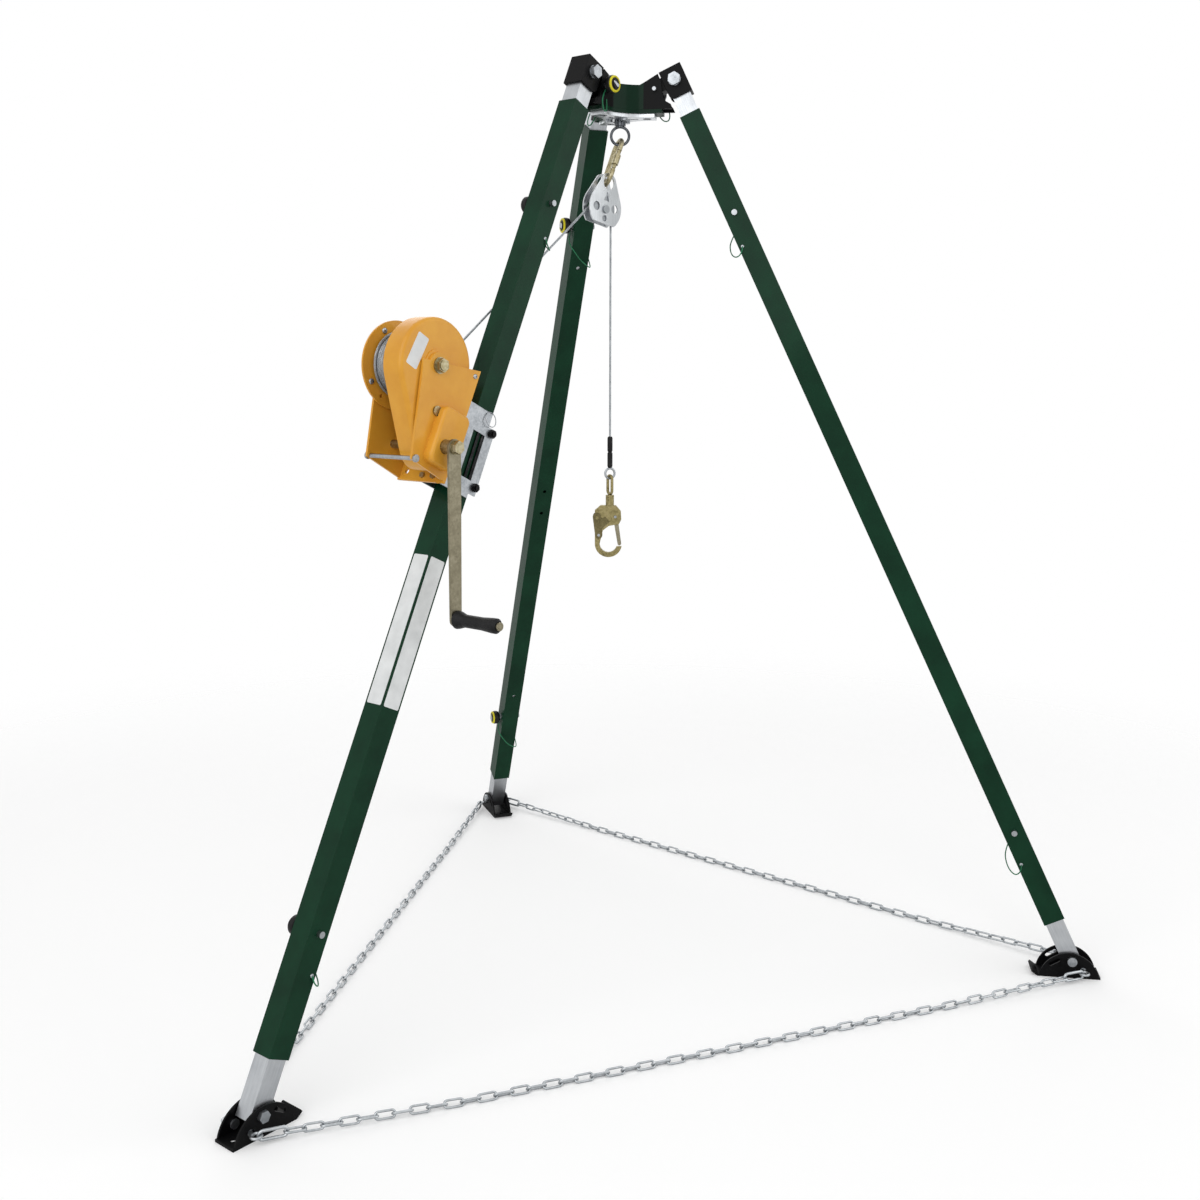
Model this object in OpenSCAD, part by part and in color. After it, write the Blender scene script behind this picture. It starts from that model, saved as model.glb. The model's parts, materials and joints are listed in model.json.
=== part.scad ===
// Rescue tripod: three telescopic legs on a welded head, a hand winch on one leg,
// and a wire rope that runs over a hanging pulley to a swivel snap hook.
// Millimetres, +Z up, the floor at z = 0, the origin at the middle of the box round the feet.

/* [Legs] */
// Lean of a leg from the vertical, in degrees
lean = 25.1; // [23:0.1:27]
// Distance of the head pivots from the lifting axis
head_r = 118; // [114:1:126]
// Width of the square outer tube
outer_w = 45; // [42:0.5:48]
// Wall of the outer tube
outer_wall = 3; // [2:0.5:4]
// Length of the outer tube
outer_len = 1886; // [1800:1:1900]
// Distance of the outer tube's top from the head pivot
outer_top = 76; // [70:1:90]
// Wall of the two inner tubes
inner_wall = 3; // [2:0.5:5]
// Gap between outer and inner tubes on each side
slide_gap = 0.5; // [0.4:0.1:0.8]
// Length of the upper inner tube
upper_len = 700; // [650:5:800]
// Length of the lower inner tube
lower_len = 790; // [720:5:850]
// Distance of the foot pivot below the outer tube's foot end
lower_show = 91; // [80:1:120]
// How far the outer tube draws down the upper tube
upper_travel = 250; // [150:10:300]
// How far the lower tube draws out of the outer tube
lower_travel = 350; // [200:10:400]

/* [Lock pins] */
// Diameter of the leg pins
leg_pin_d = 12; // [10:0.5:14]
// Distance of the upper pin below the outer tube's top
upper_pin_at = 228; // [180:1:280]
// Distance of the lower pin above the outer tube's foot end
lower_pin_at = 214; // [180:1:260]
// Diameter of a pin's knob
knob_d = 36; // [30:1:42]
// Height of a pin's knob
knob_h = 20; // [14:1:26]
// Diameter of the head pins
head_pin_d = 8; // [6:0.5:9]
// Diameter of the pins' coated wire lanyards
lanyard_d = 2.6; // [2:0.1:3.5]

/* [Head] */
// Width of a pivot block and of the head's arms
block_w = 49; // [48:0.5:53]
// Height of a pivot block above its bolt
block_up = 27; // [25:1:32]
// Depth of a pivot block below its bolt
block_down = 36; // [34:1:38]
// Thickness of the bent side plates
side_t = 5; // [4:0.5:5.5]
// Depth of the deck below the pivots
deck_drop = 60; // [54:1:66]
// Thickness of the deck plate
deck_t = 8; // [5:0.5:12]
// Thickness of the slotted anchor plate
anchor_t = 8; // [6:0.5:12]
// Diameter of the clip-in holes in the anchor plate
anchor_hole_d = 18; // [14:1:20]
// Diameter of the pivot bolts
pivot_d = 16; // [12:0.5:18]

/* [Feet] */
// Height of a foot pivot above the floor
foot_h = 38; // [36:1:44]
// Length of a foot outward of its pivot
foot_out = 60; // [55:1:70]
// Length of a foot inward of its pivot
foot_in = 70; // [66:1:80]
// Thickness of a foot's plate
foot_t = 5; // [4:0.5:6]
// Inside width of a foot's channel
foot_gap = 43; // [42:0.5:48]
// Height of a foot's domed flanges above the floor
flange_h = 54; // [50:1:58]
// Diameter of a foot's pivot bolt
foot_bolt_d = 12; // [10:0.5:14]
// Diameter of the holes in a foot's sole
sole_hole_d = 12; // [8:0.5:14]

/* [Lifting line] */
// Diameter of the wire rope
rope_d = 4.8; // [4:0.1:6]
// Distance of the ring's middle below the anchor plate
ring_drop = 34; // [33:1:42]
// Radius of the ring to the middle of its bar
ring_r = 19; // [18:0.5:22]
// Diameter of the ring's bar
ring_d = 6; // [5:0.5:7]
// Distance of the sheave's axle below the ring's middle
sheave_drop = 158; // [150:1:166]
// Distance of the sheave's axle from the lifting axis, towards the winch
sheave_out = 54; // [48:1:58]
// Radius of the sheave at the bottom of its groove
groove_r = 24; // [20:0.5:26]
// Thickness of the sheave
sheave_t = 16; // [12:0.5:20]
// Thickness of a pulley cheek
cheek_t = 3; // [2:0.5:5]
// Tilt of the pulley towards the winch, in degrees
pulley_tilt = 11; // [8:1:14]
// Diameter of the carabiner's bar
carabiner_d = 10; // [8:0.5:11]
// Length of the rope's fall from the sheave's axle to its ferrules
fall_len = 480; // [450:1:700]
// Thickness of the snap hook's body
hook_t = 12; // [10:0.5:14]

/* [Winch] */
// Distance of the drum's axis below the winch leg's head pivot
drum_down = 735; // [700:1:800]
// Distance of the drum's axis out from the winch leg's middle
drum_out = 163; // [160:1:175]
// Distance of the winch's base out from the winch leg's middle
base_out = 62; // [60:1:64]
// Radius of the drum's core with its inner layers of rope
core_r = 52.8; // [45:0.1:56]
// Radius of the drum's flanges
flange_r = 83; // [75:1:84]
// Radius of the gear cover round the drum
cover_r = 88; // [87:1:94]
// Thickness of the winch's frame plates
frame_t = 5; // [4:0.5:6]
// Module of the gears
gear_module = 2.5; // [2.3:0.05:2.5]
// Loops of rope in the outer layer on the drum
wind_loops = 9; // [6:1:10]
// Length of the crank between its shaft and its grip
crank_len = 315; // [280:5:340]
// Width of the crank's arm
crank_w = 30; // [24:1:34]
// Length of the crank's grip
grip_len = 105; // [90:1:120]
// Diameter of the crank's grip
grip_d = 28; // [24:1:34]

/* [Chain] */
// Diameter of the chain's wire
chain_d = 4.4; // [3.5:0.1:5]
// Inside length of a chain link
link_len = 31; // [28:0.5:36]
// Inside width of a chain link
link_w = 8; // [7.5:0.1:10]

/* [Hidden] */
$fn = 48;

// Clearances: a running fit, a free gap between bodies, a small cut past a face and the reach of a cut right through
run_gap = 0.05;
free_gap = 0.5;
cut = 1;
far = 120;

// Directions of the winch leg, the right leg and the back leg, and the side their knobs are on
leg_a = [210, 330, 90];
knob_side = [-1, 1, 1];
// Turn of the ring and the hook, which face the front
front_az = -21.3;

// Sizes that follow from the legs
inner_w = outer_w - 2 * (outer_wall + slide_gap);
outer_foot = outer_top + outer_len;
leg_len = outer_foot + lower_show;
head_z = foot_h + leg_len * cos(lean);
foot_r = head_r + leg_len * sin(lean);
upper_pin_u = -outer_top - upper_pin_at;
lower_pin_u = -outer_foot + lower_pin_at;
upper_top = -24;
lower_end = -leg_len - 14;
foot_half = foot_gap / 2 + foot_t - 1;
flange_t = foot_t - 1;
base_y = (foot_r + foot_out) / 2 - (foot_r + foot_out) / 4 - foot_half * cos(30) / 2;
leg_hole_d = 9;
leg_holes = [-398, -1000, -1064, -1660];

// Sizes that follow from the head
half_w = block_w / 2;
block_wall = half_w - inner_w / 2 - 0.25;
bay_d = 118;
bay_ease = 0.4;
deck_z = head_z - deck_drop;
anchor_z = deck_z - deck_t - anchor_t;
lug_r = 18.5;
lug_u = [-14, 16];
lug_in = 62;
neck_low = 11;
block_round = 12;
lock_at = 46;
eye_shank_r = 8;
anchor_hole_r = 58;
anchor_screw_r = 23;
side_h = 50;
collar_h = 13;
screw_r = 4;

// Sizes that follow from the lifting line
eye_z = anchor_z - ring_drop;
sheave_z = eye_z - sheave_drop;
sheave_r = groove_r + rope_d / 2;
sheave_rim = groove_r + 6;
cheek_in = sheave_t / 2 + free_gap;
cheek_out = cheek_in + cheek_t;
axle_r = 5;
cheek_hole_up = 56;
cheek_hole_r = 15;
cheek_top_r = 21;
cheek_r = 46;
cheek_holes = [[-26, 7, 9], [26, 1, 9], [-1, -19, 6.5]];
cheek_low = 30;
fall_rho = sheave_out - sheave_r;
ferrule_z = sheave_z - fall_len;
ferrule_len = 67;
thimble_r = 11;
thimble_d = 5;
thimble_z = ferrule_z - ferrule_len - thimble_r - thimble_d / 2 + 0.6;
eye_bar_r = 3.2;
eye_top_z = thimble_z - thimble_r + thimble_d / 2 + eye_bar_r + 0.4;
eye_len = 42;
barrel_len = 22;
hook_top_z = eye_top_z - eye_len - barrel_len - 0.4;
hook_h = 117;
hook_z = hook_top_z - hook_h;
hook_x = fall_rho;

// Sizes that follow from the winch: n is out from the leg, v is up the leg from the drum's axis
tooth_counts = [50, 16, 36, 16];
crank_n = drum_out - 56;
crank_v = -136;
frame_l = -80;
frame_r = 45;
cover_l = -8;
cover_rt = frame_r - frame_t - 2;
flange_l = frame_l + frame_t + 2;
flange_t2 = 4;
drum_rt = cover_l - 1 - flange_t2;
wind_l = flange_l + flange_t2;
drum_gear_t = [8, 20];
crank_gear_t = [24, 33];
axle10_r = 10;
stud_r = 7;
shaft_r = 8;
collar_r = 13;
bump_rt = frame_r + 20;
arm_t = [bump_rt + 19, bump_rt + 25];
wind_gap = 0.45;
wind_pitch = rope_d + wind_gap;
wind_r = core_r + 0.3 + rope_d / 2;
lead_r = wind_r + rope_d + 0.5;
lead_t = -60;
pitch_r = [for (c = tooth_counts) c * gear_module / 2];
gear_d1 = pitch_r[0] + pitch_r[1];
gear_d2 = pitch_r[2] + pitch_r[3];
train_d = norm([drum_out - crank_n, crank_v]);
train_a = atan2(crank_v, crank_n - drum_out);
train_x = (gear_d1 * gear_d1 - gear_d2 * gear_d2 + train_d * train_d) / (2 * train_d);
train_y = sqrt(max(0, gear_d1 * gear_d1 - train_x * train_x));
counter_p = [drum_out + train_x * cos(train_a) - train_y * sin(train_a),
             train_x * sin(train_a) + train_y * cos(train_a)];
crank_p = [crank_n, crank_v];
drum_p = [drum_out, 0];
rod_p = [150, -177];
plate_pts = [[base_out, -189], [157, -181], [203, -5], [base_out, 35]];
base_v = [-192, 33];
bracket_v = [-190, -18];
bracket_t = 3;
bracket_bolts = [bracket_v.x + 25, bracket_v.y - 36];
base_bolt_t = (cover_l - outer_w / 2) / 2;
base_bolts = [[base_bolt_t, -60], [base_bolt_t, -125], [14, -180], [-14, -180]];
base_holes = [[frame_l + 20, base_v.x + 18], [frame_r - 11, base_v.x + 18]];

// Place of a point in the leg's own axes: out (n), across (t) and up the leg (u)
function turn_z(a, p) = [p.x * cos(a) - p.y * sin(a), p.x * sin(a) + p.y * cos(a), p.z];
function leg_point(i, p) = turn_z(leg_a[i],
    [head_r + p.x * cos(lean) - p.z * sin(lean), p.y, head_z + p.x * sin(lean) + p.z * cos(lean)]);
function to_leg(i, w) = let (q = turn_z(-leg_a[i], w), dr = q.x - head_r, dz = q.z - head_z)
    [dr * cos(lean) + dz * sin(lean), q.y, dz * cos(lean) - dr * sin(lean)];

// Route of the rope from the drum to the sheave, in the upright plane that holds both
near_sheave = to_leg(0, turn_z(leg_a[0] - 6.5, [sheave_out + 18, 0, sheave_z + 20]));
lead_away = [near_sheave.x - drum_out, near_sheave.z + drum_down];
lead_turn = atan2(lead_away.y, lead_away.x) + acos(lead_r / norm(lead_away));
lead_leg = [drum_out + lead_r * cos(lead_turn), lead_t, -drum_down + lead_r * sin(lead_turn)];
lead_world = leg_point(0, lead_leg);
rope_az = atan2(lead_world.y, lead_world.x);
lead_p = [norm([lead_world.x, lead_world.y]), lead_world.z];
lead_d = lead_p - [sheave_out, sheave_z];
lead_meet = atan2(lead_d.y, lead_d.x) + acos(sheave_r / norm(lead_d));
wrap_steps = 10;
lead_route = concat([lead_p], [for (k = [0:wrap_steps])
    let (a = lead_meet + (180 - lead_meet) * k / wrap_steps)
    [sheave_out + sheave_r * cos(a), sheave_z + sheave_r * sin(a)]]);

// Loop of a leg pin's lanyard from the knob round the leg's inner face, for a knob on the +t side
tie_u = -(leg_pin_d / 2 + 3 + lanyard_d / 2 + 0.6);
face_t = outer_w / 2;
leg_lanyard = [[0, face_t + 2.5, tie_u], [-3, face_t + 2.7, tie_u - 8], [-10, face_t + 6, tie_u - 17],
               [-24, face_t + 5, tie_u - 28], [-36, face_t - 5, tie_u - 41], [-41, 6, tie_u - 54],
               [-41, -9, tie_u - 66], [-36, -face_t + 1, tie_u - 74], [-28, -face_t - 4, tie_u - 75],
               [-19, -face_t - 4, tie_u - 69], [-14, -face_t - lanyard_d / 2 - 0.2, tie_u - 60]];
// Loop of a head pin's lanyard from the knob to the side plate
head_tie = -(head_pin_d / 2 + 3 + lanyard_d / 2 + 0.6);
head_lanyard = [[0, half_w + 2.5, head_tie], [2, half_w + 2.7, head_tie - 9], [5, half_w + 6, head_tie - 19],
                [7, half_w + 9, head_tie - 31], [4, half_w + 12, head_tie - 43], [-3, half_w + 12, head_tie - 50],
                [-11, half_w + 10, head_tie - 47], [-15, half_w + 6, head_tie - 37], [-14, half_w + 3, head_tie - 27],
                [-11, half_w + lanyard_d / 2 + 0.2, head_tie - 18]];

// Frames that the pieces are drawn in
module stand() { translate([0, -base_y, 0]) children(); }
module on_leg(i) { stand() rotate([0, 0, leg_a[i]]) translate([head_r, 0, head_z]) rotate([0, -lean, 0]) children(); }
module on_foot(i) { stand() rotate([0, 0, leg_a[i]]) translate([foot_r, 0, foot_h]) children(); }
module on_winch() { on_leg(0) translate([0, 0, -drum_down]) children(); }
module on_rope() { stand() rotate([0, 0, rope_az]) children(); }
module on_fall() { on_rope() translate([fall_rho, 0, 0]) rotate([0, 0, front_az - rope_az]) children(); }
module on_pulley() { on_rope() translate([sheave_out, 0, sheave_z]) rotate([0, -pulley_tilt, 0]) children(); }

// Shapes that repeat
module across(t0, t1) { translate([0, t1, 0]) rotate([90, 0, 0]) linear_extrude(t1 - t0) children(); }
module rod(r, t0, t1, p = [0, 0]) { translate([p.x, t0, p.y]) rotate([-90, 0, 0]) cylinder(r = r, h = t1 - t0); }
module hex_rod(flats, t0, t1, p = [0, 0]) {
    translate([p.x, t0, p.y]) rotate([-90, 0, 0]) cylinder(d = flats / cos(30), h = t1 - t0, $fn = 6);
}
// Two circles and the belt round them; its corners lie a hair inside the circles
belt_ease = 0.01;
module belt2d(p1, r1, p2, r2) {
    d = p2 - p1;
    a = atan2(d.y, d.x);
    b = acos((r1 - r2) / norm(d));
    in1 = r1 - belt_ease;
    in2 = r2 - belt_ease;
    translate(p1) circle(r = r1);
    translate(p2) circle(r = r2);
    polygon([p1 + in1 * [cos(a + b), sin(a + b)], p2 + in2 * [cos(a + b), sin(a + b)],
             p2 + in2 * [cos(a - b), sin(a - b)], p1 + in1 * [cos(a - b), sin(a - b)]]);
}
module torus(r, bar_r, angle = 360) { rotate_extrude(angle = angle) translate([r, 0]) circle(r = bar_r); }
module square_tube(w, wall, u0, u1) {
    difference() {
        translate([-w / 2, -w / 2, u0]) cube([w, w, u1 - u0]);
        translate([-w / 2 + wall, -w / 2 + wall, u0 - cut]) cube([w - 2 * wall, w - 2 * wall, u1 - u0 + 2 * cut]);
    }
}
module loop(half_len, r, bar_r) {
    for (s = [-1, 1]) {
        translate([s * half_len, 0, 0]) rotate([0, 0, s * 90 - 180]) torus(r, bar_r, 180);
        translate([-half_len, s * r, 0]) rotate([0, 90, 0]) cylinder(r = bar_r, h = 2 * half_len);
    }
}
// A tube along a list of points: each ring stands square to the route, turned by a side direction
function along(pts, k) = let (d = pts[min(k + 1, len(pts) - 1)] - pts[max(k - 1, 0)]) d / norm(d);
function ring_at(p, d, side, r, sides) = let (x = cross(side, d) / norm(cross(side, d)), y = cross(d, x))
    [for (j = [0:sides - 1]) p + r * (x * cos(360 * j / sides) + y * sin(360 * j / sides))];
module tube(pts, side, r, sides = 8) {
    n = len(pts);
    points = [for (k = [0:n - 1]) each ring_at(pts[k], along(pts, k), side, r, sides)];
    ends = [for (j = [1:sides - 2]) each [[0, j, j + 1], [(n - 1) * sides, (n - 1) * sides + j + 1, (n - 1) * sides + j]]];
    walls = [for (k = [0:n - 2], j = [0:sides - 1])
        let (a = k * sides + j, b = k * sides + (j + 1) % sides) each [[a, a + sides, b], [b, a + sides, b + sides]]];
    polyhedron(points, concat(ends, walls));
}
// Involute spur gear outline, with teeth thinned for backlash
tooth_slack = 0.22;
function roll_angle(r, rb) = sqrt(max(0, r * r / (rb * rb) - 1)) * 180 / PI;
function involute(r, rb) = let (t = roll_angle(r, rb)) t - atan(t * PI / 180);
function tooth_half(teeth, r) = let (rp = teeth * gear_module / 2, rb = rp * cos(20))
    (gear_module * PI / 4 - tooth_slack / 2) / rp * 180 / PI + involute(rp, rb) - involute(max(r, rb), rb);
module gear2d(teeth) {
    rp = teeth * gear_module / 2;
    rf = rp - 1.2 * gear_module;
    ra = rp + 0.9 * gear_module;
    rb = rp * cos(20);
    radii = [rf, max(rb, rf + 0.01), rp, (rp + ra) / 2, ra];
    polygon([for (k = [0:teeth - 1]) each concat(
        [for (m = [0:4]) let (a = 360 * k / teeth - tooth_half(teeth, radii[m])) radii[m] * [cos(a), sin(a)]],
        [for (m = [4:-1:0]) let (a = 360 * k / teeth + tooth_half(teeth, radii[m])) radii[m] * [cos(a), sin(a)]])]);
}
// A gear in the winch's axes, with the middle of one tooth pointing at angle a
module gear(teeth, p, a, t) { across(t.x, t.y) translate(p) rotate(a) gear2d(teeth); }
function angle_to(p, q) = atan2(q.y - p.y, q.x - p.x);

// Head
module star2d(w, reach) {
    difference() {
        union() {
            for (a = leg_a) rotate(a) translate([0, -w]) square([reach, 2 * w]);
            circle(r = norm([bay_d / 2, w]));
        }
        for (a = leg_a) rotate(a + 60) translate([bay_d, 0]) circle(r = bay_d * sin(60) - w + bay_ease);
    }
}
// What is cut away above an arm's side plates, which rise from the bay to the pivot
module arm_above2d() {
    low = deck_drop - side_h;
    top = block_up + deck_drop;
    polygon([[5 - head_r, -low], [-73, -low], [-64, 5 - low], [-30, 15], [-10, block_up], [6, block_up], [6, top], [5 - head_r, top]]);
}
module block_clear2d() {
    side = half_w + 2.5;
    polygon([[-side, far], [-side, lug_r / 2], [-side - 9, -lug_r], [-side - 9, 5 - block_down], [-side - 1, -6 - block_down],
             [-side - 1, -far], [far, -far], [far, far]]);
}
module head_deck() {
    color("#22402c") stand() difference() {
        translate([0, 0, deck_z - deck_t]) linear_extrude(deck_t) star2d(half_w, head_r - 26);
        translate([0, 0, deck_z - deck_t - cut]) cylinder(r = eye_shank_r + run_gap, h = deck_t + 2 * cut);
        for (a = leg_a) rotate(a + 60) translate([anchor_screw_r, 0, deck_z - deck_t - cut])
            cylinder(r = screw_r + run_gap, h = deck_t + 2 * cut);
    }
}
// One bent plate in each bay, from one arm's side round to the next arm's
module head_side_plates() {
    color("#1d3325") stand() for (k = [0:2]) rotate([0, 0, 120 * k]) difference() {
        translate([0, 0, deck_z]) linear_extrude(deck_drop + block_up) intersection() {
            difference() {
                star2d(half_w, head_r);
                star2d(half_w - side_t, head_r + cut);
            }
            rotate(leg_a[2]) polygon([[0, 0], [2 * head_r, 0], 2 * head_r * [cos(120), sin(120)]]);
        }
        for (a = [leg_a[2], leg_a[0]]) rotate([0, 0, a]) translate([head_r, 0, head_z]) {
            across(-bay_d, bay_d) arm_above2d();
            rotate([0, -lean, 0]) {
                across(-half_w - cut, half_w + cut) block_clear2d();
                rod(head_pin_d / 2 + run_gap, -half_w - cut, half_w + cut, [-lock_at, 0]);
            }
        }
    }
}
module pivot_lugs() {
    neck = inner_w / 2 - 0.25;
    root_end = half_w + block_round;
    color("#26292a") for (i = [0:2]) difference() {
        union() {
            on_leg(i) {
                across(-neck, neck) circle(r = lug_r);
                translate([-root_end - 2, -neck, -neck_low]) cube([root_end + 2, 2 * neck, lug_u.y + neck_low]);
            }
            intersection() {
                on_leg(i) translate([-lug_in, -half_w, lug_u.x]) cube([lug_in - root_end, block_w, lug_u.y - lug_u.x]);
                stand() translate([0, 0, deck_z]) linear_extrude(deck_drop + block_up) star2d(half_w - side_t, head_r);
            }
        }
        on_leg(i) {
            rod(pivot_d / 2 + run_gap, -half_w, half_w);
            rod(head_pin_d / 2 + run_gap, -half_w, half_w, [-lock_at, 0]);
        }
    }
}
module anchor_plate() {
    color("#c9ccce") stand() difference() {
        translate([0, 0, anchor_z]) linear_extrude(anchor_t) difference() {
            star2d(half_w - 5, anchor_hole_r + anchor_hole_d / 2 + 9);
            for (a = leg_a) rotate(a) belt2d([20, 0], 4, [36, 0], 4);
        }
        translate([0, 0, anchor_z - cut]) cylinder(r = eye_shank_r + run_gap, h = anchor_t + 2 * cut);
        for (a = leg_a) rotate(a) translate([anchor_hole_r, 0, anchor_z - cut])
            cylinder(d = anchor_hole_d, h = anchor_t + 2 * cut);
        for (a = leg_a) rotate(a + 60) translate([anchor_screw_r, 0, anchor_z - cut])
            cylinder(r = screw_r + run_gap, h = anchor_t + 2 * cut);
    }
}
module head_bolts() {
    color("#b9bcbd") {
        for (i = [0:2]) on_leg(i) {
            out = half_w + 0.3;
            rod(pivot_d / 2, -out - 6, out + 9);
            for (s = [-1, 1]) rod(pivot_d / 2 + 5.5, s > 0 ? out : -out - 2.5, s > 0 ? out + 2.5 : -out);
            hex_rod(24, -out - 11, -out - 2.5);
            hex_rod(24, out + 2.5, out + 12);
        }
        stand() for (a = leg_a) rotate(a + 60) translate([anchor_screw_r, 0, 0]) {
            translate([0, 0, anchor_z - 4]) cylinder(r = screw_r, h = deck_t + anchor_t + 4 + 5);
            translate([0, 0, anchor_z - 5]) cylinder(r = screw_r + 3, h = 5);
            translate([0, 0, deck_z]) cylinder(d = 13 / cos(30), h = 6, $fn = 6);
        }
    }
}

// Legs
module leg_block(i) {
    wall = block_wall;
    color("#1b1c1e") on_leg(i) difference() {
        across(-half_w, half_w) difference() {
            translate([-half_w, -block_down]) square([2 * half_w, block_up + block_down]);
            translate([-half_w - cut, -block_down - cut]) square(block_round + cut);
        }
        // Room for the lug above and for the tube below
        translate([-half_w - cut, -half_w + wall, -28]) cube([2 * half_w - wall + cut, 2 * (half_w - wall), 50]);
        translate([-half_w - cut, -half_w + wall, 20]) cube([half_w - 6 + cut, 2 * (half_w - wall), 20]);
        translate([-half_w + wall, -half_w + wall, -block_down - cut])
            cube([2 * (half_w - wall), 2 * (half_w - wall), block_down]);
        rod(pivot_d / 2 + run_gap, -half_w - cut, half_w + cut);
    }
    color("#1b1c1e") on_leg(i) for (s = [-1, 1]) intersection() {
        across(s > 0 ? half_w - wall : -half_w, s > 0 ? half_w : -half_w + wall)
            translate([block_round - half_w, block_round - block_down]) circle(r = block_round);
        translate([-half_w, -half_w, -block_down]) cube([block_round, 2 * half_w, block_round]);
    }
}
module pin_slot(u0, u1) {
    r = leg_pin_d / 2 + free_gap;
    across(-outer_w, outer_w) belt2d([0, u0], r, [0, u1], r);
}
module upper_tube(i) {
    color("#c4c7c9") on_leg(i) difference() {
        square_tube(inner_w, inner_wall, upper_top - upper_len, upper_top);
        pin_slot(upper_pin_u, upper_pin_u - upper_travel);
    }
}
module outer_tube(i) {
    color("#1f4a2d") on_leg(i) difference() {
        square_tube(outer_w, outer_wall, -outer_foot, -outer_top);
        for (u = [upper_pin_u, lower_pin_u]) rod(leg_pin_d / 2 + run_gap, -outer_w, outer_w, [0, u]);
        for (u = leg_holes) translate([-outer_w, 0, u]) rotate([0, 90, 0]) cylinder(d = leg_hole_d, h = outer_w - outer_wall - 2);
    }
}
module lower_tube(i) {
    color("#b4b7b9") on_leg(i) difference() {
        square_tube(inner_w, inner_wall, lower_end, lower_end + lower_len);
        pin_slot(lower_pin_u, lower_pin_u + lower_travel);
        rod(foot_bolt_d / 2 + run_gap, -outer_w, outer_w, [0, -leg_len]);
    }
}
module foot(i) {
    chain_hole = [24, 18 - foot_h];
    lip = 16;
    lip_a = 35;
    bend = [-foot_in, -foot_h];
    lip_end = bend + lip * [-cos(lip_a), sin(lip_a)];
    // The domes' circle passes through the sole's middle, a little inside both ends
    dome_half = (foot_in + foot_out) / 2 - 3;
    dome_up = flange_h - foot_t / 2;
    dome_r = (dome_half * dome_half + dome_up * dome_up) / (2 * dome_up);
    color("#141516") on_foot(i) difference() {
        union() {
            across(-foot_half, foot_half) polygon([bend, [foot_out, -foot_h], [foot_out, foot_t - foot_h],
                bend + [foot_t * tan(lip_a / 2), foot_t], lip_end + foot_t * [sin(lip_a), cos(lip_a)], lip_end]);
            for (s = [-1, 1]) across(s > 0 ? foot_gap / 2 : -foot_half, s > 0 ? foot_half : -foot_gap / 2) intersection() {
                translate([(foot_out - foot_in) / 2, flange_h - foot_h - dome_r]) circle(r = dome_r);
                translate([-foot_in, foot_t / 2 - foot_h]) square([foot_in + foot_out, flange_h + cut]);
            }
        }
        rod(foot_bolt_d / 2 + run_gap, -foot_half - cut, foot_half + cut);
        rod(6.5, -foot_half - cut, foot_half + cut, chain_hole);
        across(-foot_half - cut, foot_half + cut) belt2d([-44, -10], 4, [-28, 0], 4);
        for (x = [-52, 42]) translate([x, 0, -foot_h - cut]) cylinder(d = sole_hole_d, h = foot_t + 2 * cut);
    }
    color("#9a9da0") on_foot(i) {
        rod(foot_bolt_d / 2, -foot_half - 7, foot_half + 7);
        rod(foot_bolt_d / 2 + 4, -foot_half - 7, -foot_half);
        hex_rod(19, foot_half, foot_half + 8);
    }
}

// Ball-lock pins: shank, knob and release ring, drawn for a knob on the +t side and mirrored for the other
module lock_pin(d, seat, p, side) {
    color("#1a1a1b") translate([p.x, 0, p.y]) mirror([0, side < 0 ? 1 : 0, 0]) {
        rod(d / 2, -seat - 9, seat + 4);
        rod(d / 2 + 3, seat, seat + 6);
        translate([0, seat + 5, 0]) rotate([-90, 0, 0]) rotate_extrude() polygon([[0, 0], [knob_d / 2 - 6, 0],
            [knob_d / 2 - 1, 4], [knob_d / 2, 8], [knob_d / 2, knob_h - 6], [knob_d / 2 - 3, knob_h - 2], [knob_d / 2 - 7, knob_h],
            [knob_d / 4, knob_h], [knob_d / 4, knob_h + 2], [0, knob_h + 2]]);
    }
}
module upper_pin(i) { on_leg(i) lock_pin(leg_pin_d, outer_w / 2, [0, upper_pin_u], knob_side[i]); }
module lower_pin(i) { on_leg(i) lock_pin(leg_pin_d, outer_w / 2, [0, lower_pin_u], knob_side[i]); }
module head_pin(i) { on_leg(i) lock_pin(head_pin_d, half_w, [-lock_at, 0], 1); }
module leg_lanyards(i) {
    color("#2b6b52") on_leg(i) for (u = [upper_pin_u, lower_pin_u]) translate([0, 0, u]) mirror([0, knob_side[i] < 0 ? 1 : 0, 0])
        tube(leg_lanyard, [0.2, 0.3, 1], lanyard_d / 2);
}
module head_lanyards() {
    color("#2b6b52") for (i = [0:2]) on_leg(i) translate([-lock_at, 0, 0]) tube(head_lanyard, [0.2, 1, 0.1], lanyard_d / 2);
}

// Lifting line
module swivel_eye() {
    color("#3c3d3d") stand() {
        translate([0, 0, anchor_z - collar_h / 2]) cylinder(r = eye_shank_r, h = collar_h / 2 + anchor_t + deck_t + 14);
        translate([0, 0, anchor_z - collar_h - 0.3]) cylinder(r = 12, h = collar_h);
        translate([0, 0, deck_z + 0.3]) cylinder(d = 24 / cos(30), h = 10, $fn = 6);
        translate([0, 0, eye_z]) rotate([0, 0, front_az]) rotate([90, 0, 0]) torus(ring_r, ring_d / 2);
        translate([0, 0, eye_z + ring_r - 1]) cylinder(r = 7, h = ring_drop - ring_r - collar_h + 2);
    }
}
carabiner_top = [0, eye_z - ring_r + ring_d / 2 + carabiner_d / 2 + 0.9];
cheek_hole = [sheave_out - cheek_hole_up * sin(pulley_tilt), sheave_z + cheek_hole_up * cos(pulley_tilt)];
carabiner_low = cheek_hole - [0, 2];
carabiner_half = norm(carabiner_top - carabiner_low) / 2;
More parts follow.
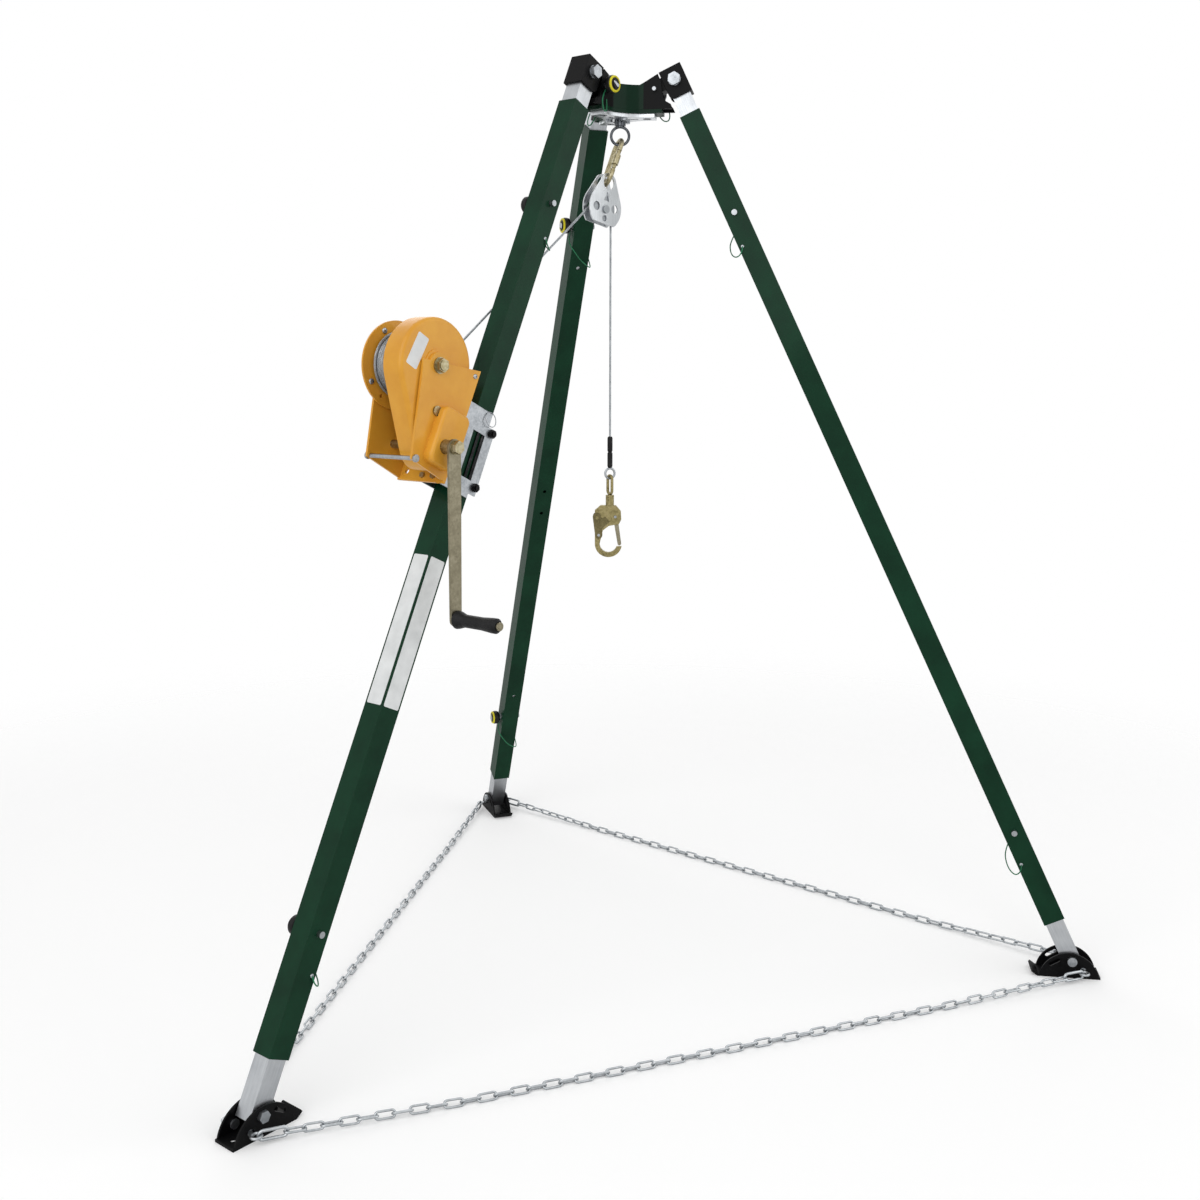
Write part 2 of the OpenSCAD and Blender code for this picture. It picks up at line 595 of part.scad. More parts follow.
carabiner_tilt = atan2(carabiner_low.x - carabiner_top.x, carabiner_top.y - carabiner_low.y);
carabiner_r = 20;
carabiner_spin = -25;
gate_len = 44;
gate_hinge = carabiner_d / 2 - gate_len / 2;
module on_carabiner() {
    mid = (carabiner_top + carabiner_low) / 2;
    on_rope() translate([mid.x, 0, mid.y]) rotate([0, -carabiner_tilt, 0]) rotate([0, 0, carabiner_spin]) children();
}
module carabiner() {
    bar = carabiner_d / 2;
    half = carabiner_half - carabiner_r;
    color("#b39a52") on_carabiner() rotate([0, -90, 0]) {
        for (s = [-1, 1]) translate([s * half, 0, 0]) rotate([0, 0, s * 90 - 180]) torus(carabiner_r, bar, 180);
        for (s = [-1, 1]) translate([s > 0 ? gate_len / 2 : -half, carabiner_r, 0]) rotate([0, 90, 0])
            cylinder(r = bar, h = half - gate_len / 2);
        translate([-half, -carabiner_r, 0]) rotate([0, 90, 0]) cylinder(r = bar, h = 2 * half);
    }
}
module carabiner_gate() {
    color("#c9b06a") on_carabiner() translate([0, carabiner_r, 0]) {
        bar = carabiner_d / 2 - 0.5;
        translate([0, 0, gate_hinge]) sphere(r = bar);
        translate([0, 0, gate_hinge]) cylinder(r = bar, h = gate_len / 2 - 0.8 - gate_hinge);
        translate([0, 0, -gate_len / 4]) cylinder(r = carabiner_d / 2 + 2, h = gate_len / 2);
    }
}
module cheek2d() {
    difference() {
        intersection() {
            belt2d([0, cheek_hole_up], cheek_top_r, [0, 4], cheek_r);
            translate([-2 * cheek_r, -cheek_low]) square(4 * cheek_r);
        }
        translate([0, cheek_hole_up]) circle(r = cheek_hole_r);
        circle(r = axle_r + run_gap);
        for (h = cheek_holes) translate([h.x, h.y]) circle(r = h.z);
        polygon([[0, 38], [-8, 18], [8, 18]]);
    }
}
module pulley_cheeks() {
    color("#d3d5d7") on_pulley() for (s = [-1, 1])
        across(s > 0 ? cheek_in : -cheek_out, s > 0 ? cheek_out : -cheek_in) cheek2d();
}
module pulley_sheave() {
    half = sheave_t / 2;
    throat = rope_d / 2 + 0.3;
    color("#aeb1b4") on_pulley() rotate([-90, 0, 0]) rotate_extrude() difference() {
        translate([axle_r + run_gap, -half]) square([sheave_rim - axle_r - run_gap, 2 * half]);
        translate([groove_r + rope_d / 2, 0]) circle(r = throat);
        polygon([[groove_r + rope_d / 2, -throat], [sheave_rim + cut, -half + 1.2], [sheave_rim + cut, half - 1.2],
                 [groove_r + rope_d / 2, throat]]);
    }
}
module pulley_axle() {
    color("#8f9294") on_pulley() {
        rod(axle_r, -cheek_out - 4, cheek_out + 4);
        for (s = [-1, 1]) rod(axle_r + 3.5, s > 0 ? cheek_out : -cheek_out - 4, s > 0 ? cheek_out + 4 : -cheek_out);
    }
}

// Wire rope
function wind_point(t) = let (a = lead_turn + 20 + 360 * t) [wind_r * cos(a), wind_l + 1 + rope_d / 2 + wind_pitch * t, wind_r * sin(a)];
wind_steps = 36;
wind_pts = [for (k = [0:wind_loops * wind_steps]) wind_point(k / wind_steps)];
wind_least = min([for (k = [0:wind_steps], m = [wind_steps - 4:wind_steps + 4])
    norm(wind_pts[k + m] - wind_pts[k])]) - rope_d;
echo(least_gap_between_loops = wind_least);
module rope_winding() {
    sides = 6;
    n = len(wind_pts);
    points = [for (p = wind_pts) let (d = [p.x, 0, p.z] / wind_r)
        each [for (j = [0:sides - 1]) p + rope_d / 2 * (d * cos(360 * j / sides) + [0, 1, 0] * sin(360 * j / sides))]];
    ends = [for (j = [1:sides - 2]) each [[0, j + 1, j], [(n - 1) * sides, (n - 1) * sides + j, (n - 1) * sides + j + 1]]];
    walls = [for (k = [0:n - 2], j = [0:sides - 1])
        let (a = k * sides + j, b = k * sides + (j + 1) % sides) each [[a, b, a + sides], [b, b + sides, a + sides]]];
    color("#a9adb0") on_winch() translate([drum_p.x, 0, drum_p.y]) polyhedron(points, concat(ends, walls));
}
module rope_lead() {
    color("#a9adb0") on_rope() tube([for (p = lead_route) [p.x, 0, p.y]], [0, 1, 0], rope_d / 2);
}
module rope_fall() {
    color("#a9adb0") on_rope() translate([fall_rho, 0, ferrule_z]) cylinder(r = rope_d / 2, h = sheave_z - ferrule_z);
}
module rope_end() {
    color("#232425") on_fall() translate([0, 0, ferrule_z]) {
        half = ferrule_len / 2;
        for (k = [1, 2]) translate([0, 0, -k * half]) rotate_extrude() polygon([[0, 0], [4.2, 0], [5.6, 3], [5.6, half - 3],
            [4.2, half], [0, half]]);
        translate([0, 0, thimble_z - ferrule_z]) rotate([0, 0, 25]) rotate([90, 0, 0]) torus(thimble_r, thimble_d / 2);
    }
}
module hook_eye() {
    color("#a58f4c") on_fall() {
        r = 8;
        translate([0, 0, eye_top_z - eye_len / 2 + 1]) rotate([0, 0, 35]) rotate([0, 90, 0]) loop(eye_len / 2 - r - 1, r, eye_bar_r);
        translate([0, 0, hook_top_z + 0.4]) cylinder(r = 9, h = barrel_len);
        translate([0, 0, hook_top_z - 10]) cylinder(r = 5, h = 12);
    }
}
hook_bow = [-3, 33];
hook_r = [19, 29.5];
hook_pivot = [12, 92];
lock_pivot = [-24, 52];
hook_tip = [21, 33];
module hook2d() {
    difference() {
        translate(hook_bow) circle(r = hook_r.y);
        translate(hook_bow) circle(r = hook_r.x);
        translate([hook_bow.x - 40, hook_bow.y]) square([80, 40]);
        translate([hook_bow.x, hook_bow.y - 6]) square([40, 40]);
    }
    left = hook_bow.x - hook_r.y;
    polygon([[left, hook_bow.y], [hook_bow.x - hook_r.x, hook_bow.y], [-15, 62], [-2, 72], [20, 76], [25, 86], [24, 104],
             [13, hook_h], [-20, hook_h], [left, 106]]);
}
module on_hook() { on_fall() translate([0, 0, hook_z]) children(); }
module hook_body() {
    color("#9d8a4a") on_hook() difference() {
        across(-hook_t / 2, hook_t / 2) hook2d();
        translate([0, 0, hook_h - 11]) cylinder(r = 5 + run_gap, h = 20);
        // Slot that the gate swings in
        translate([-6, -hook_t / 4 - free_gap, 30]) cube([60, hook_t / 2 + 2 * free_gap, 70]);
        rod(3 + run_gap, -hook_t, hook_t, hook_pivot);
        rod(3 + run_gap, -hook_t, hook_t, lock_pivot);
    }
}
module hook_gate() {
    color("#b7a565") on_hook() {
        across(-hook_t / 4, hook_t / 4) belt2d(hook_pivot, 5, hook_tip, 4);
        rod(3, -hook_t / 2 - 1.5, hook_t / 2 + 1.5, hook_pivot);
    }
}
module hook_lock() {
    plate = [hook_t / 2 + 0.4, hook_t / 2 + 2.4];
    color("#8c7b41") on_hook() {
        for (s = [-1, 1]) across(s > 0 ? plate.x : -plate.y, s > 0 ? plate.y : -plate.x) difference() {
            union() {
                belt2d(lock_pivot, 8, [-28, 92], 9);
                polygon([[-24, 60], [0, 82], [-10, 92], [-28, 84]]);
            }
            translate([-28, 90]) circle(r = 4);
        }
        rod(3, -plate.y - 1, plate.y + 1, lock_pivot);
    }
}

// Winch
module plate2d() {
    polygon(plate_pts);
    translate(drum_p) circle(r = 24);
}
module winch_bracket() {
    in = outer_w / 2;
    color("#b8bcc0") on_winch() difference() {
        union() {
            translate([base_out - 5, -in - bracket_t, bracket_v.x]) cube([5, 2 * (in + bracket_t), bracket_v.y - bracket_v.x]);
            for (s = [-1, 1]) translate([-in - 16, s > 0 ? in : -in - bracket_t, bracket_v.x])
                cube([in + 16 + base_out - 4, bracket_t, bracket_v.y - bracket_v.x]);
        }
        translate([-in + 6, -far, bracket_v.x + 34]) cube([2 * in - 12, 2 * far, 92]);
        translate([-in - 17, -far, bracket_v.y - 26]) cube([20, 2 * far, 30]);
        translate([-in - 17, -far, bracket_v.x - 4]) cube([20, 2 * far, 14]);
        for (v = bracket_bolts) rod(5, -far, far, [-in - 8, v]);
        for (b = base_bolts) translate([base_out - 10, b.x, b.y]) rotate([0, 90, 0]) cylinder(r = 3.2, h = 20);
    }
}
module winch_frame() {
    color("#d99a2b") on_winch() difference() {
        union() {
            across(frame_l, frame_l + frame_t) plate2d();
            across(frame_r - frame_t, frame_r) plate2d();
            translate([base_out, frame_l, base_v.x]) cube([frame_t, frame_r - frame_l, base_v.y - base_v.x]);
        }
        rod(axle10_r, -far, far, drum_p);
        rod(shaft_r + run_gap, -far, far, crank_p);
        rod(stud_r, 0, far, counter_p);
        rod(4, -far, far, rod_p);
        for (b = base_bolts) translate([base_out - 10, b.x, b.y]) rotate([0, 90, 0]) cylinder(r = 3.2, h = 30);
        for (b = base_holes) translate([base_out - 10, b.x, b.y]) rotate([0, 90, 0]) cylinder(r = 5, h = 30);
    }
}
module winch_bolts() {
    in = outer_w / 2;
    color("#b5a878") on_winch() {
        rod(axle10_r, frame_l - 12, frame_r + 14, drum_p);
        hex_rod(23, frame_l - 10, frame_l, drum_p);
        rod(15, frame_r, frame_r + 3, drum_p);
        hex_rod(23, frame_r + 3, frame_r + 12, drum_p);
        rod(stud_r, 4, frame_r, counter_p);
        rod(stud_r + 2, frame_r, frame_r + 4, counter_p);
        rod(4, frame_l - 4, frame_r + 4, rod_p);
        rod(3, frame_r, ratchet_t.y + 1, pawl_p);
        for (s = [frame_l - 4, frame_r]) rod(7, s, s + 4, rod_p);
        for (b = base_bolts) translate([0, b.x, b.y]) rotate([0, 90, 0]) {
            translate([0, 0, base_out - 12]) cylinder(r = 3.2, h = frame_t + 15);
            translate([0, 0, base_out + frame_t]) cylinder(d = 10 / cos(30), h = 5, $fn = 6);
            translate([0, 0, base_out - 10]) cylinder(d = 10 / cos(30), h = 5, $fn = 6);
        }
        for (v = bracket_bolts) {
            rod(5, -in - bracket_t - 10, in + bracket_t + 10, [-in - 8, v]);
            for (s = [-1, 1]) hex_rod(15, s > 0 ? in + bracket_t : -in - bracket_t - 7, s > 0 ? in + bracket_t + 7 : -in - bracket_t,
                [-in - 8, v]);
        }
    }
}
module gear_cover() {
    wall = 3;
    color("#e0a635") on_winch() difference() {
        union() {
            across(cover_l, cover_rt) belt2d(drum_p, cover_r, crank_p, 46);
            rod(30, cover_rt, frame_r - frame_t, drum_p);
        }
        across(cover_l - cut, cover_rt - wall) belt2d(drum_p, cover_r - wall, crank_p, 46 - wall);
        rod(axle10_r + run_gap, 0, far, drum_p);
        rod(stud_r + run_gap, 0, far, counter_p);
        rod(shaft_r + free_gap, 0, far, crank_p);
        // The foot of the cover stops short of the base and the spacer rod
        translate([base_out - cover_r, cover_l - cut, -3 * cover_r]) cube([cover_r + frame_t + free_gap, far, 4 * cover_r]);
        rod(5, -far, far, rod_p);
    }
}
bump_n = [base_out + 2, 134];
bump_v = [-172, -63];
module bump2d(inset) {
    r = 14 - inset;
    for (a = [[0, 0], [1, 1]]) translate([bump_n.x + inset + r * a.x, bump_v.x + inset + r * (1 - a.x)])
        square([bump_n.y - bump_n.x - 2 * inset - 2 * r * a.x, bump_v.y - bump_v.x - 2 * inset - 2 * r * (1 - a.x)]);
    for (x = [0, 1], y = [0, 1]) translate([x > 0 ? bump_n.y - 14 : bump_n.x + 14, y > 0 ? bump_v.y - 14 : bump_v.x + 14]) circle(r = r);
}
module brake_cover() {
    wall = 2.5;
    color("#dfa233") on_winch() difference() {
        across(frame_r, bump_rt) bump2d(0);
        across(frame_r - cut, bump_rt - wall) bump2d(wall);
        rod(collar_r + free_gap, 0, far, crank_p);
        rod(stud_r + 3, frame_r - cut, frame_r + 5, counter_p);
        rod(8, frame_r - cut, frame_r + 5, rod_p);
    }
}
module drum() {
    a = angle_to(drum_p, counter_p);
    color("#cf9128") on_winch() difference() {
        union() {
            rod(core_r, flange_l, drum_rt + flange_t2, drum_p);
            rod(flange_r, flange_l, flange_l + flange_t2, drum_p);
            rod(flange_r, drum_rt, drum_rt + flange_t2, drum_p);
            rod(26, drum_rt, drum_gear_t.x + 1, drum_p);
            gear(tooth_counts[0], drum_p, a, drum_gear_t);
        }
        rod(axle10_r + run_gap, -far, far, drum_p);
        for (k = [0:2]) rotate([0, 0, 0]) rod(4, flange_l - cut, flange_l + flange_t2 + cut,
            drum_p + 70 * [cos(120 * k + 40), sin(120 * k + 40)]);
    }
}
module countershaft_gear() {
    a = angle_to(counter_p, drum_p);
    b = angle_to(counter_p, crank_p);
    color("#8d9092") on_winch() difference() {
        union() {
            gear(tooth_counts[1], counter_p, a + 180 / tooth_counts[1], [drum_gear_t.x, crank_gear_t.x + 1]);
            gear(tooth_counts[2], counter_p, b, crank_gear_t);
        }
        rod(stud_r + run_gap, 0, far, counter_p);
    }
}
module crank_shaft() {
    b = angle_to(crank_p, counter_p);
    color("#a89c6c") on_winch() {
        rod(shaft_r, frame_l + 1, arm_t.y + 4, crank_p);
        gear(tooth_counts[3], crank_p, b + 180 / tooth_counts[3], crank_gear_t);
        for (t = [frame_r + 1, frame_r + 11]) rod(22, t, t + 2.5, crank_p);
        rod(collar_r, frame_r + 13, arm_t.x, crank_p);
        rod(collar_r, arm_t.y, arm_t.y + 3, crank_p);
        hex_rod(22, arm_t.y + 3, arm_t.y + 12, crank_p);
    }
}
ratchet_t = [frame_r + 4, frame_r + 10.5];
ratchet_teeth = 14;
ratchet_r = [19, 23];
pawl_p = [crank_n - 12, crank_v + 38];
module ratchet_wheel() {
    color("#7d8082") on_winch() difference() {
        across(ratchet_t.x, ratchet_t.y) translate(crank_p) polygon([for (k = [0:ratchet_teeth - 1]) let (a = 360 * k / ratchet_teeth)
            each [ratchet_r.y * [cos(a), sin(a)], ratchet_r.x * [cos(a + 2), sin(a + 2)]]]);
        rod(shaft_r + run_gap, 0, far, crank_p);
    }
}
module pawl() {
    tip = crank_p + (ratchet_r.y + 1.2) * [cos(78), sin(78)];
    color("#6f7274") on_winch() difference() {
        union() {
            rod(6, ratchet_t.x, ratchet_t.y, pawl_p);
            across(ratchet_t.x, ratchet_t.y) polygon([pawl_p + [-2, -4], tip + [-1, -0.4], tip + [0.6, 0.6], pawl_p + [3, 4]]);
        }
        rod(3 + run_gap, 0, far, pawl_p);
    }
}
arm_dir = [-sin(lean), -cos(lean)];
grip_p = crank_p + crank_len * arm_dir;
module crank_arm() {
    color("#a79b6a") on_winch() {
        difference() {
            across(arm_t.x, arm_t.y) belt2d(crank_p, crank_w / 2, grip_p, crank_w / 2 - 2);
            rod(shaft_r, 0, far, crank_p);
        }
        rod(5, arm_t.x - 3, arm_t.y + grip_len + 6, grip_p);
        rod(9, arm_t.x - 4, arm_t.x, grip_p);
        rod(8, arm_t.y + grip_len + 1, arm_t.y + grip_len + 5, grip_p);
    }
}
module crank_grip() {
    r = grip_d / 2;
    color("#1c1c1d") on_winch() translate([grip_p.x, arm_t.y + 0.5, grip_p.y]) rotate([-90, 0, 0]) rotate_extrude()
        polygon([[5 + run_gap, 0], [r + 1, 0], [r + 3, 3], [r + 2, 9], [r - 2, 22], [r - 2, grip_len - 40], [r, grip_len - 14],
                 [r, grip_len - 5], [r - 4, grip_len], [5 + run_gap, grip_len]]);
}

// Chain between the feet: links turned by turns to either side, a longer end link at each end,
// and at each foot a headed stud with a ring
link_bar = chain_d / 2;
link_pitch = link_len - 0.5;
link_c = (link_w + chain_d) / 2;
link_cl = link_len + chain_d;
end_bar = link_bar + 0.6;
end_c = link_c + 1.8;
stud_ring = [9, 2.5];
hook_in = stud_ring.x - stud_ring.y - end_bar - 0.3;
link_in = end_bar + link_bar + 0.3;
chain_z = (link_w / 2 + link_bar) * sin(45) + link_bar + 0.3;
chain_twist = 10;
stud_at = [24, foot_half + 7, 18];
function foot_point(i, p) = turn_z(leg_a[i], [foot_r + p.x, p.y, p.z]);
module chain_span(i, j) {
    a = foot_point(i, stud_at + [0, 7, 0]);
    b = foot_point(j, [stud_at.x, -stud_at.y - 7, stud_at.z]);
    flat = [b.x - a.x, b.y - a.y];
    run = norm(flat);
    links = 2 * floor((run - link_cl - 2 * (45 + hook_in - link_in)) / (2 * link_pitch)) + 1;
    end_cl = (run - link_cl - (links - 1) * link_pitch) / 2 - hook_in + link_in;
    fall = end_cl + chain_twist * link_pitch;
    stand() translate([a.x, a.y, 0]) rotate([0, 0, atan2(flat.y, flat.x)]) {
        for (k = [0:links - 1]) {
            s = run / 2 + (k - (links - 1) / 2) * link_pitch;
            from_end = min(k, links - 1 - k);
            drop = max(0, 1 - min(s, run - s) / fall);
            slope = drop > 0 ? atan((stud_at.z - chain_z) / fall) * (s < run / 2 ? 1 : -1) : 0;
            roll = (k % 2 == 0 ? 0 : 90) - 45 * min(1, from_end / chain_twist);
            translate([s, 0, chain_z + (stud_at.z - chain_z) * drop]) rotate([0, slope, 0]) rotate([roll, 0, 0])
                loop(link_cl / 2 - link_c, link_c, link_bar, $fn = 24);
        }
        for (s = [hook_in + end_cl / 2, run - hook_in - end_cl / 2])
            translate([s, 0, stud_at.z - (stud_at.z - chain_z) * min(s, run - s) / fall]) rotate([90, 0, 0])
                loop(end_cl / 2 - end_c, end_c, end_bar, $fn = 24);
    }
}
module chain_stud(i, s) {
    on_foot(i) translate([0, 0, -foot_h]) {
        p = [stud_at.x, stud_at.z];
        rod(3, s > 0 ? foot_gap / 2 - 3 : -stud_at.y, s > 0 ? stud_at.y : 3 - foot_gap / 2, p);
        rod(8.5, s > 0 ? foot_gap / 2 - 4 : 0.4 - foot_gap / 2, s > 0 ? foot_gap / 2 - 0.4 : 4 - foot_gap / 2, p);
        translate([p.x, s * (stud_at.y + 7), p.y]) torus(stud_ring.x, stud_ring.y);
    }
}
module safety_chain() {
    color("#c3c6c9") {
        chain_span(0, 1);
        chain_span(1, 2);
        chain_span(2, 0);
        for (i = [0:2], s = [-1, 1]) chain_stud(i, s);
    }
}

head_deck();
head_side_plates();
pivot_lugs();
anchor_plate();
head_bolts();
leg_block(0);  // winch_leg_block
leg_block(1);  // right_leg_block
leg_block(2);  // back_leg_block
upper_tube(0);  // winch_leg_upper_tube
upper_tube(1);  // right_leg_upper_tube
upper_tube(2);  // back_leg_upper_tube
outer_tube(0);  // winch_leg_outer_tube
outer_tube(1);  // right_leg_outer_tube
outer_tube(2);  // back_leg_outer_tube
lower_tube(0);  // winch_leg_lower_tube
lower_tube(1);  // right_leg_lower_tube
lower_tube(2);  // back_leg_lower_tube
foot(0);  // winch_leg_foot
foot(1);  // right_leg_foot
foot(2);  // back_leg_foot
upper_pin(0);  // winch_leg_upper_pin
upper_pin(1);  // right_leg_upper_pin
upper_pin(2);  // back_leg_upper_pin
lower_pin(0);  // winch_leg_lower_pin
lower_pin(1);  // right_leg_lower_pin
lower_pin(2);  // back_leg_lower_pin
head_pin(0);  // winch_leg_head_pin
head_pin(1);  // right_leg_head_pin
head_pin(2);  // back_leg_head_pin
leg_lanyards(0);  // winch_leg_lanyards
leg_lanyards(1);  // right_leg_lanyards
leg_lanyards(2);  // back_leg_lanyards
head_lanyards();
swivel_eye();
carabiner();
carabiner_gate();
pulley_cheeks();
pulley_sheave();
pulley_axle();
rope_winding();
rope_lead();
rope_fall();
rope_end();
hook_eye();
hook_body();
hook_gate();
hook_lock();
winch_bracket();
winch_frame();
winch_bolts();
gear_cover();
brake_cover();
drum();
countershaft_gear();
crank_shaft();
ratchet_wheel();
pawl();
crank_arm();
crank_grip();
safety_chain();
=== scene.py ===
import json
import math
import bpy
import bmesh
from mathutils import Matrix, Vector
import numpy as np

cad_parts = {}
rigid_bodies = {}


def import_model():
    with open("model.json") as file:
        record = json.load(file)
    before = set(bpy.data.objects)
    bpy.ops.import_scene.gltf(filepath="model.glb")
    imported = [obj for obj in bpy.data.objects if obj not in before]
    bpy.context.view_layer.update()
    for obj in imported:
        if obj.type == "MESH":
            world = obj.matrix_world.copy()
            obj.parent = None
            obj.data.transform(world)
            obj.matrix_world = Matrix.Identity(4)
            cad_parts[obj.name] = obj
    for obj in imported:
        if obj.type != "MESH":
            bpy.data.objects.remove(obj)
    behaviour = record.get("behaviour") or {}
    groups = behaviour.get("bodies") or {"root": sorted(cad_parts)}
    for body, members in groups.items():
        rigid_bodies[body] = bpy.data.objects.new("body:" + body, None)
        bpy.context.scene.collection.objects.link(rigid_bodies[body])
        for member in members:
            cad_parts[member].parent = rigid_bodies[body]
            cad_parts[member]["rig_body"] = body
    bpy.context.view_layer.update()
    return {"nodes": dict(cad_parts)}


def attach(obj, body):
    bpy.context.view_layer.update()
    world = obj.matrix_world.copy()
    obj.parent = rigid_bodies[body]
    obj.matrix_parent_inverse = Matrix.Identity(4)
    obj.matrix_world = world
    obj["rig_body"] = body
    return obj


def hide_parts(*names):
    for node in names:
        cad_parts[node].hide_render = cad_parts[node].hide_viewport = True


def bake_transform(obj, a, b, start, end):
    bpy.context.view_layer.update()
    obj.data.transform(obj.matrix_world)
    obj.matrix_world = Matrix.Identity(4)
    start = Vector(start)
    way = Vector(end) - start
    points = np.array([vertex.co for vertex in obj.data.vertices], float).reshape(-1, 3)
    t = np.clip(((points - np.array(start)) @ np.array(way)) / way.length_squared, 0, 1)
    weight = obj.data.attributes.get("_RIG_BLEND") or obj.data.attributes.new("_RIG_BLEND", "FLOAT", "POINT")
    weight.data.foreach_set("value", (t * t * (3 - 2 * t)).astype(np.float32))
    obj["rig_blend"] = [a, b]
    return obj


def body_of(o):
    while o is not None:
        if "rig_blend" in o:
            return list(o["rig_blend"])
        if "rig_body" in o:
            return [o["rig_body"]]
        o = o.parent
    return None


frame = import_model()
scene = bpy.context.scene
nodes = frame["nodes"]
print("frame loaded,", len(nodes), "nodes")

# The tripod's own axes, as in the part: leg directions, lean and the middle of the head
tripod = {"legAngles": (210, 330, 90), "lean": 25.1, "headR": 0.118, "headZ": 1.89713, "middleY": -0.251179,
          "footR": 0.988881, "footH": 0.038, "tube": 0.045, "upperPin": -0.304, "lowerPin": -1.748,
          "knobSides": (-1, 1, 1)}
legNames = ("winch_leg", "right_leg", "back_leg")


def legMatrix(i):
    a = math.radians(tripod["legAngles"][i])
    return (Matrix.Translation((0, tripod["middleY"], 0)) @ Matrix.Rotation(a, 4, "Z")
            @ Matrix.Translation((tripod["headR"], 0, tripod["headZ"]))
            @ Matrix.Rotation(-math.radians(tripod["lean"]), 4, "Y"))


def legPoint(i, n, t, u):
    return legMatrix(i) @ Vector((n, t, u))


# Camera: stands front left at chest height and looks a little down
view = {"eye": (-1.070, -3.0002, 1.2986), "aim": (0, -0.251179, 0.974), "lens": 40.578, "shiftX": -0.01563,
        "shiftY": -0.070, "roll": 0.2, "sensor": 36, "farthest": 60}
camData = bpy.data.cameras.new("camera")
camData.sensor_width = view["sensor"]
camData.lens = view["lens"]
camData.shift_x = view["shiftX"]
camData.shift_y = view["shiftY"]
camData.clip_end = view["farthest"]
cam = bpy.data.objects.new("camera", camData)
scene.collection.objects.link(cam)
look = Vector(view["aim"]) - Vector(view["eye"])
cam.matrix_world = (Matrix.Translation(view["eye"]) @ look.to_track_quat("-Z", "Y").to_matrix().to_4x4()
                    @ Matrix.Rotation(math.radians(view["roll"]), 4, "Z"))
scene.camera = cam
print("camera set")


# Materials
def linear(hexColour):
    out = []
    for k in (0, 2, 4):
        c = int(hexColour[k:k + 2], 16) / 255
        out.append(c / 12.92 if c <= 0.04045 else ((c + 0.055) / 1.055) ** 2.4)
    return (*out, 1)


def put(tree, kind, values=None, links=None, stops=(), to=None, **settings):
    node = tree.nodes.new(kind)
    for key, value in settings.items():
        setattr(node, key, value)
    for key, value in (values or {}).items():
        node.inputs[key].default_value = value
    for key, source in (links or {}).items():
        tree.links.new(source, node.inputs[key])
    for k, (place, colour) in enumerate(stops):
        spot = node.color_ramp.elements[k] if k < 2 else node.color_ramp.elements.new(place)
        spot.position = place
        spot.color = linear(colour) if isinstance(colour, str) else (colour, colour, colour, 1)
    if to:
        tree.links.new(node.outputs[0], to)
    return node


def newMaterial(name):
    mat = bpy.data.materials.new(name)
    mat.use_nodes = True
    tree = mat.node_tree
    shader = tree.nodes["Principled BSDF"]
    place = put(tree, "ShaderNodeTexCoord").outputs["Object"]
    return mat, tree, shader, place


# Powder coat: baked paint with a fine orange peel, a soft gloss and faint wear in tone
def powderCoat(name, dark, light, rough, gloss, shine):
    mat, tree, shader, place = newMaterial(name)
    tone = put(tree, "ShaderNodeTexNoise", {"Scale": 14, "Detail": 5, "Roughness": 0.6}, {"Vector": place})
    peel = put(tree, "ShaderNodeTexNoise", {"Scale": 420, "Detail": 2}, {"Vector": place})  # 2.4 mm orange peel
    put(tree, "ShaderNodeValToRGB", links={"Fac": tone.outputs["Fac"]}, stops=((0.3, dark), (0.7, light)),
        to=shader.inputs["Base Color"])
    put(tree, "ShaderNodeValToRGB", links={"Fac": tone.outputs["Fac"]},
        stops=((0.25, rough - 0.06), (0.75, rough + 0.08)), to=shader.inputs["Roughness"])
    put(tree, "ShaderNodeBump", {"Strength": 0.12, "Distance": 0.0006}, {"Height": peel.outputs["Fac"]},
        to=shader.inputs["Normal"])
    shader.inputs["Specular IOR Level"].default_value = shine
    shader.inputs["Coat Weight"].default_value = gloss
    shader.inputs["Coat Roughness"].default_value = 0.1
    return mat


# Drawn or brushed metal: fine lines along one direction, seen as streaks in the gloss
def brushedMetal(name, dark, light, rough, turn=(0, 0, 0), stretch=(1, 1, 0.02), grain=900):
    mat, tree, shader, place = newMaterial(name)
    line = put(tree, "ShaderNodeMapping", {"Rotation": turn, "Scale": [1 / k for k in stretch]}, {"Vector": place},
               vector_type="TEXTURE")
    streak = put(tree, "ShaderNodeTexNoise", {"Scale": grain, "Detail": 3}, {"Vector": line.outputs["Vector"]})
    cloud = put(tree, "ShaderNodeTexNoise", {"Scale": 22, "Detail": 4}, {"Vector": place})
    mix = put(tree, "ShaderNodeMath", {1: 0.5}, {0: streak.outputs["Fac"]}, operation="MULTIPLY")
    both = put(tree, "ShaderNodeMath", {1: 0.5}, {0: cloud.outputs["Fac"], 2: mix.outputs["Value"]},
               operation="MULTIPLY_ADD")
    put(tree, "ShaderNodeValToRGB", links={"Fac": both.outputs["Value"]}, stops=((0.3, dark), (0.7, light)),
        to=shader.inputs["Base Color"])
    put(tree, "ShaderNodeValToRGB", links={"Fac": both.outputs["Value"]},
        stops=((0.3, rough + 0.1), (0.7, rough - 0.05)), to=shader.inputs["Roughness"])
    put(tree, "ShaderNodeBump", {"Strength": 0.08, "Distance": 0.0003}, {"Height": streak.outputs["Fac"]},
        to=shader.inputs["Normal"])
    shader.inputs["Metallic"].default_value = 1
    return mat


